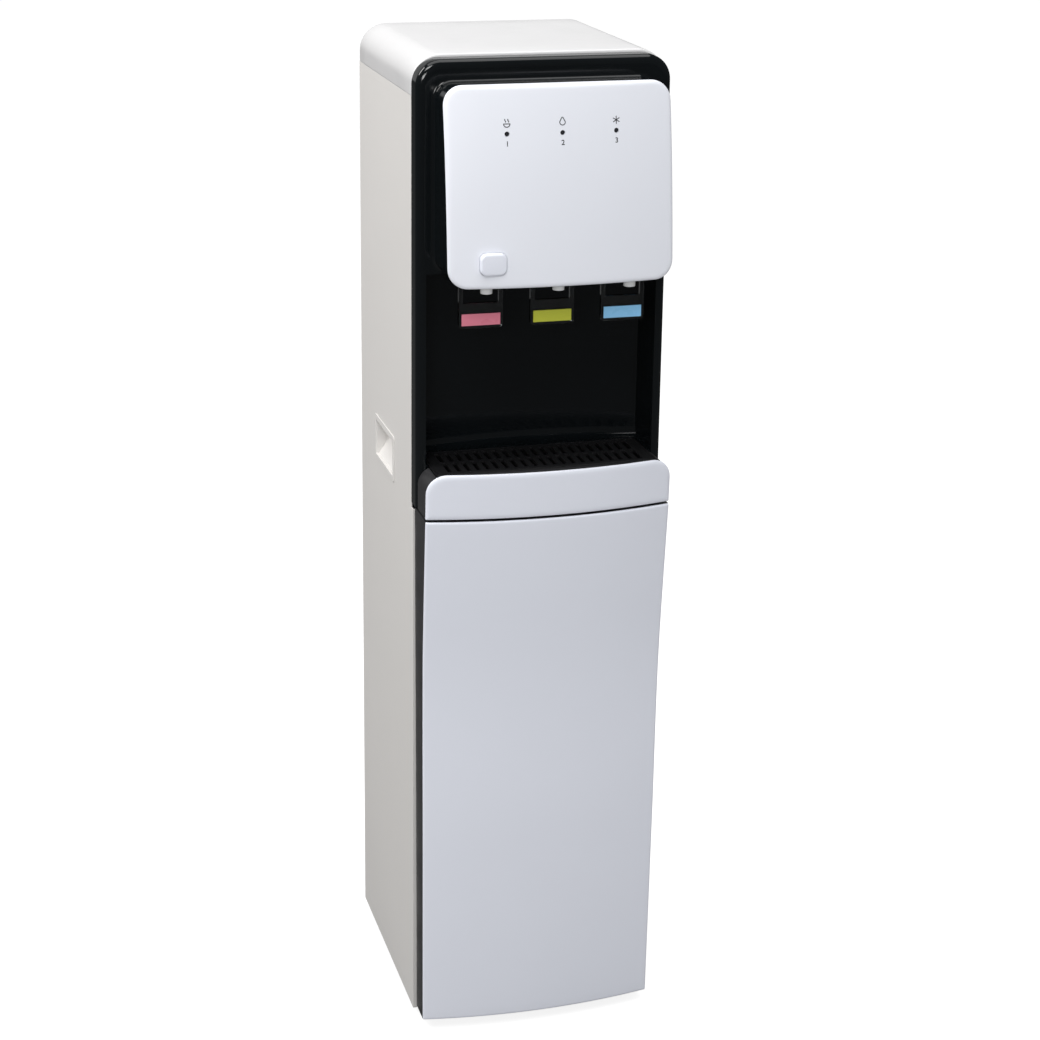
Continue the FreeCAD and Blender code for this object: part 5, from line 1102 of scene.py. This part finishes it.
def turned(profile, centre, sides=48):
    """Turns radius and height pairs about an upright axis through the centre."""
    profile = np.asarray(profile, float)
    cosine, sine = circle(sides)
    x = centre[0] + profile[:, :1] * cosine
    y = centre[1] + profile[:, :1] * sine
    z = np.repeat(centre[2] + profile[:, 1:], sides, axis=1)
    return np.stack([x, y, z], axis=2)


def carried(path, radius, sides=12):
    """Rings of a circle of that radius, square to the path at each of its points.

    The path's direction comes from its neighbours. The first sideways
    direction is passed on from ring to ring, so that the tube doesn't twist.
    """
    path = np.asarray(path, float)
    way = np.gradient(path, axis=0)
    way /= np.linalg.norm(way, axis=1, keepdims=True)
    start = np.cross(way[0], (0, 0, 1.0))
    if np.linalg.norm(start) < 1e-3:
        start = np.cross(way[0], (1.0, 0, 0))
    sideways = []
    for direction in way:
        start = start - direction * np.dot(start, direction)
        start = start / np.linalg.norm(start)
        sideways.append(start)
    sideways = np.array(sideways)
    up = np.cross(way, sideways)
    cosine, sine = circle(sides)
    ring = cosine[None, :, None] * sideways[:, None] + sine[None, :, None] * up[:, None]
    tube = path[:, None] + radius * ring
    return np.concatenate([path[:1, None] + 0 * ring[:1], tube, path[-1:, None] + 0 * ring[-1:]])


def joined(name, groups):
    """Several sets of rings as one mesh."""
    return fused(name, [mesh_of_rings(name + "_part", rings) for rings in groups])


print("a carried circle has", len(carried([(0, 0, 0), (0, 0, 1)], 1.0)), "rings on a short path")

# %% [markdown]
# Four rubber feet carry the cabinet. Each is a disc with a groove above it and
# a collar that holds it in the base, so its profile steps in twice.

# %% Feet
FOOT = [(0, 0), (0.0135, 0), (0.0146, 0.0006), (0.015, 0.0018), (0.015, 0.0042),
        (0.0142, 0.0052), (0.0118, 0.0058), (0.0112, 0.007), (0.0112, 0.0098), (0, 0.0098)]
FOOT_X, FOOT_Y = 0.1085, (0.034, 0.236)
feet = joined("rubber_feet", [turned(FOOT, (side * FOOT_X, y + SHIFT, 0)) for side in (-1, 1)
                              for y in FOOT_Y])
make_piece("rubber_feet", keep_sharp(feet, 50), "cabinet", "rubber_black", "feet")
print("feet:", len(feet.polygons), "faces")

# %% [markdown]
# A thin steel spring pushes each valve shut. It is wound as a helix, which a small circle follows,
# and it rides on its valve, which sinks by its travel when a lever is pressed.

# %% Valve springs
VALVE_TRAVEL, SPRING_Y, SPRING_RADIUS = 0.006, -0.084, 0.0040
SPRING_WIRE, SPRING_END = 0.00045, 0.0005


def spring_path(x, y, low, high, radius, turns=6, steps=18):
    """A helix: it turns evenly while it rises from low to high."""
    share = np.linspace(0, 1, turns * steps + 1)
    angle = 2 * math.pi * turns * share
    return np.stack([x + radius * np.cos(angle), y + radius * np.sin(angle),
                     low + (high - low) * share], axis=1)


for water, x in TAP_X.items():
    low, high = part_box(f"{water}_valve_spring")
    path = spring_path(x, SPRING_Y + SHIFT, low.z + SPRING_END, high.z - SPRING_END,
                       SPRING_RADIUS)
    wire = make_piece(f"{water}_spring_wire",
                      joined(f"{water}_spring_wire", [carried(path, SPRING_WIRE, 8)]),
                      f"{water}_valve", "spring_steel", f"{water}_valve_spring")
    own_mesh(wire)
    print(water, "spring:", round((high.z - low.z) * 1000, 1), "mm long")

# %% [markdown]
# The water runs through soft milky tubes. The short hose over the probe is
# ribbed like a hose that folds together when the probe is lifted out, but it is drawn
# at its full length: its radius goes up and down as a cosine.

# %% Hose
HOSE_RADIUS, HOSE_WALL, HOSE_FOLDED = 0.006, 0.002, 0.4


def ribbed_profile(radius, low, high, ribs=8, depth=0.0009):
    """Radius and height pairs: a cosine of so many ribs, then the bore on the way back."""
    share = np.linspace(0, 1, ribs * 8 + 1)
    outside = np.stack([radius - depth / 2 * (1 - np.cos(2 * math.pi * ribs * share)),
                        low + (high - low) * share], axis=1)
    inside = np.array([(radius - HOSE_WALL, high), (radius - HOSE_WALL, low)])
    return np.concatenate([outside, inside, outside[:1]])


low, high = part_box("suction_hose")
centre = ((low.x + high.x) / 2, (low.y + high.y) / 2, 0.0)
hose_mesh = joined("ribbed_hose",
                   [turned(ribbed_profile(HOSE_RADIUS, low.z, high.z), centre, 32)])
hose_piece = make_piece("ribbed_hose", keep_sharp(hose_mesh, 60), "cabinet", "hose",
                        "suction_hose")
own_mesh(hose_piece)
print("hose:", len(hose_mesh.polygons), "faces")

# %% [markdown]
# The tubes to the tanks are smooth and straight. Each ends on the round wall of
# its tank, so its last ring is not flat.

# %% Tubes
TANKS = {"hot": (-0.0913, 0.046), "room": (0.0633, 0.074), "cold": (0.0633, 0.074)}
TUBE_START, TUBE_LEVEL, TANK_Y = -0.0097, 0.930, 0.168


def tube_rings(x, tank_x, tank_radius, radius=0.005, sides=20):
    """A straight tube from the tap's inlet to the round wall of its tank.

    Its far ring lies on the tank: y is the tank's centre less the root of the
    radius squared less the sideways distance squared.
    """
    cosine, sine = circle(sides)
    across, up = x + radius * cosine, TUBE_LEVEL + radius * sine
    end = TANK_Y - np.sqrt(tank_radius ** 2 - (across - tank_x) ** 2) + SHIFT
    start = np.full(sides, TUBE_START + SHIFT)
    rings = [np.stack([across, start + (end - start) * share, up], axis=1)
             for share in np.linspace(0, 1, 9)]
    return drawn_in(rings[0], (0,)) + rings + drawn_in(rings[-1], (0,))


tube_mesh = joined("tank_tubes", [tube_rings(TAP_X[water], *tank)
                                  for water, tank in TANKS.items()])
make_piece("tank_tubes", keep_sharp(tube_mesh, 60), "cabinet", "tube", "water_tubes")
print("tubes:", len(tube_mesh.polygons), "faces")

# %% [markdown]
# The condenser warms the room behind the cabinet: one tube folded into level
# runs, with thin wires welded over it. The tube's path is its runs joined by
# half circles.

# %% Condenser
COIL_LOW, COIL_PITCH, COIL_RUNS, COIL_HALF, COIL_Y = 0.690, 0.046, 8, 0.113, 0.2832
COIL_TUBE, COIL_BEND, COIL_ENTRY = 0.0024, 0.0096, 0.268
WIRE_RADIUS, WIRE_COUNT, WIRE_HALF, WIRE_OFF, WIRE_PAST = 0.0008, 22, 0.067, 0.0031, 0.0153
CLIP_X, CLIP_WIDE, CLIP_TALL, CLIP_START = 0.0762, 0.004, 0.005, 0.2712


def coil_path():
    """Level runs and half turns, with both ends bent forward into the back panel."""
    turn = COIL_PITCH / 2
    quarter = np.linspace(0, math.pi / 2, 7)
    half = np.linspace(-math.pi / 2, math.pi / 2, 13)
    first = np.stack([-(COIL_HALF - COIL_BEND) - COIL_BEND * np.cos(quarter),
                      COIL_Y - COIL_BEND + COIL_BEND * np.sin(quarter),
                      COIL_LOW + 0 * quarter], axis=1)
    points = [np.array([[-COIL_HALF, COIL_ENTRY, COIL_LOW]]), first]
    side = 1
    for index in range(COIL_RUNS - 1):
        level = COIL_LOW + index * COIL_PITCH
        points.append(np.stack([side * (COIL_HALF - turn + turn * np.cos(half)),
                                COIL_Y + 0 * half, level + turn + turn * np.sin(half)], axis=1))
        side = -side
    last = first[::-1].copy()
    last[:, 0] = np.abs(last[:, 0]) * side
    last[:, 2] = COIL_LOW + (COIL_RUNS - 1) * COIL_PITCH
    points += [last, np.array([[side * COIL_HALF, COIL_ENTRY, last[0, 2]]])]
    return np.concatenate(points) + (0, SHIFT, 0)


def wire_paths():
    """Upright wires in front of and behind the tube, evenly spaced."""
    low, high = COIL_LOW - WIRE_PAST, COIL_LOW + (COIL_RUNS - 1) * COIL_PITCH + WIRE_PAST
    return [np.array([[x, y, low], [x, y, high]])
            for y in (COIL_Y - WIRE_OFF + SHIFT, COIL_Y + WIRE_OFF + SHIFT)
            for x in np.linspace(-WIRE_HALF, WIRE_HALF, WIRE_COUNT)]


def clip_meshes():
    """Four clips between the panel and the tube, as blocks."""
    return [block_mesh("clip", (side * CLIP_X - CLIP_WIDE, CLIP_START, z - CLIP_TALL),
                       (side * CLIP_X + CLIP_WIDE, COIL_Y, z + CLIP_TALL))
            for side in (-1, 1) for z in (COIL_LOW + COIL_PITCH,
                                          COIL_LOW + (COIL_RUNS - 2) * COIL_PITCH)]


coil = joined("condenser_tube", [carried(coil_path(), COIL_TUBE, 14)])
wires = joined("condenser_wires", [carried(path, WIRE_RADIUS, 8) for path in wire_paths()])
for mesh in (coil, wires):
    make_piece(mesh.name, keep_sharp(mesh, 60), "cabinet", "condenser_black", "condenser")
clips = make_piece("condenser_clips", fused("condenser_clips", clip_meshes()), "cabinet",
                   "condenser_black", "condenser")
round_edges(clips, 0.0008)
print("condenser:", COIL_RUNS, "runs and", 2 * WIRE_COUNT, "wires")

# %% [markdown]
# All other pieces keep the CAD's shape, with a bevel as wide as their material
# would have it: a fold in sheet steel, a corner in a casting, or the thin edge
# of a small moulding.

# %% Soft edges for the rest


def at_each_tap(*pieces):
    """The names of these pieces at all three taps."""
    return tuple(f"{water}_{piece}" for piece in pieces for water in TAP_X)


EDGE_WIDTHS = {
    0.0006: ("door_liner", "switch_housing", "heating_switch", "cooling_switch",
             "probe_clips", "cord_gland", "control_board", "head_electronics"),
    0.0012: ("left_handle_cup", "right_handle_cup", "tray_housing", "bottle_mat", "pump",
             "drain_cap"),
    0.0008: (*at_each_tap("tap_lever"), "drip_grille"),
    0.0003: ("left_side_panel", "right_side_panel", "back_panel", "base_pan", "mid_shelf",
             "tank_shelf", "door_frame", "door_hinges", "drip_tray"),
    0.0004: (*at_each_tap("tap_body"), "suction_probe", "drain_spout",
             *at_each_tap("valve_stem", "lever_insert"), "door_strikes", "door_magnets"),
    0.002: ("compressor", "hot_tank", "cold_tank"),
}
for width, group in EDGE_WIDTHS.items():
    for node in group:
        softened(node, width)
for node, thing in nodes.items():
    thing.data.materials.clear()
    thing.data.materials.append(finishes[slot_of_node[node]])
print(sum(len(group) for group in EDGE_WIDTHS.values()), "pieces with soft edges")
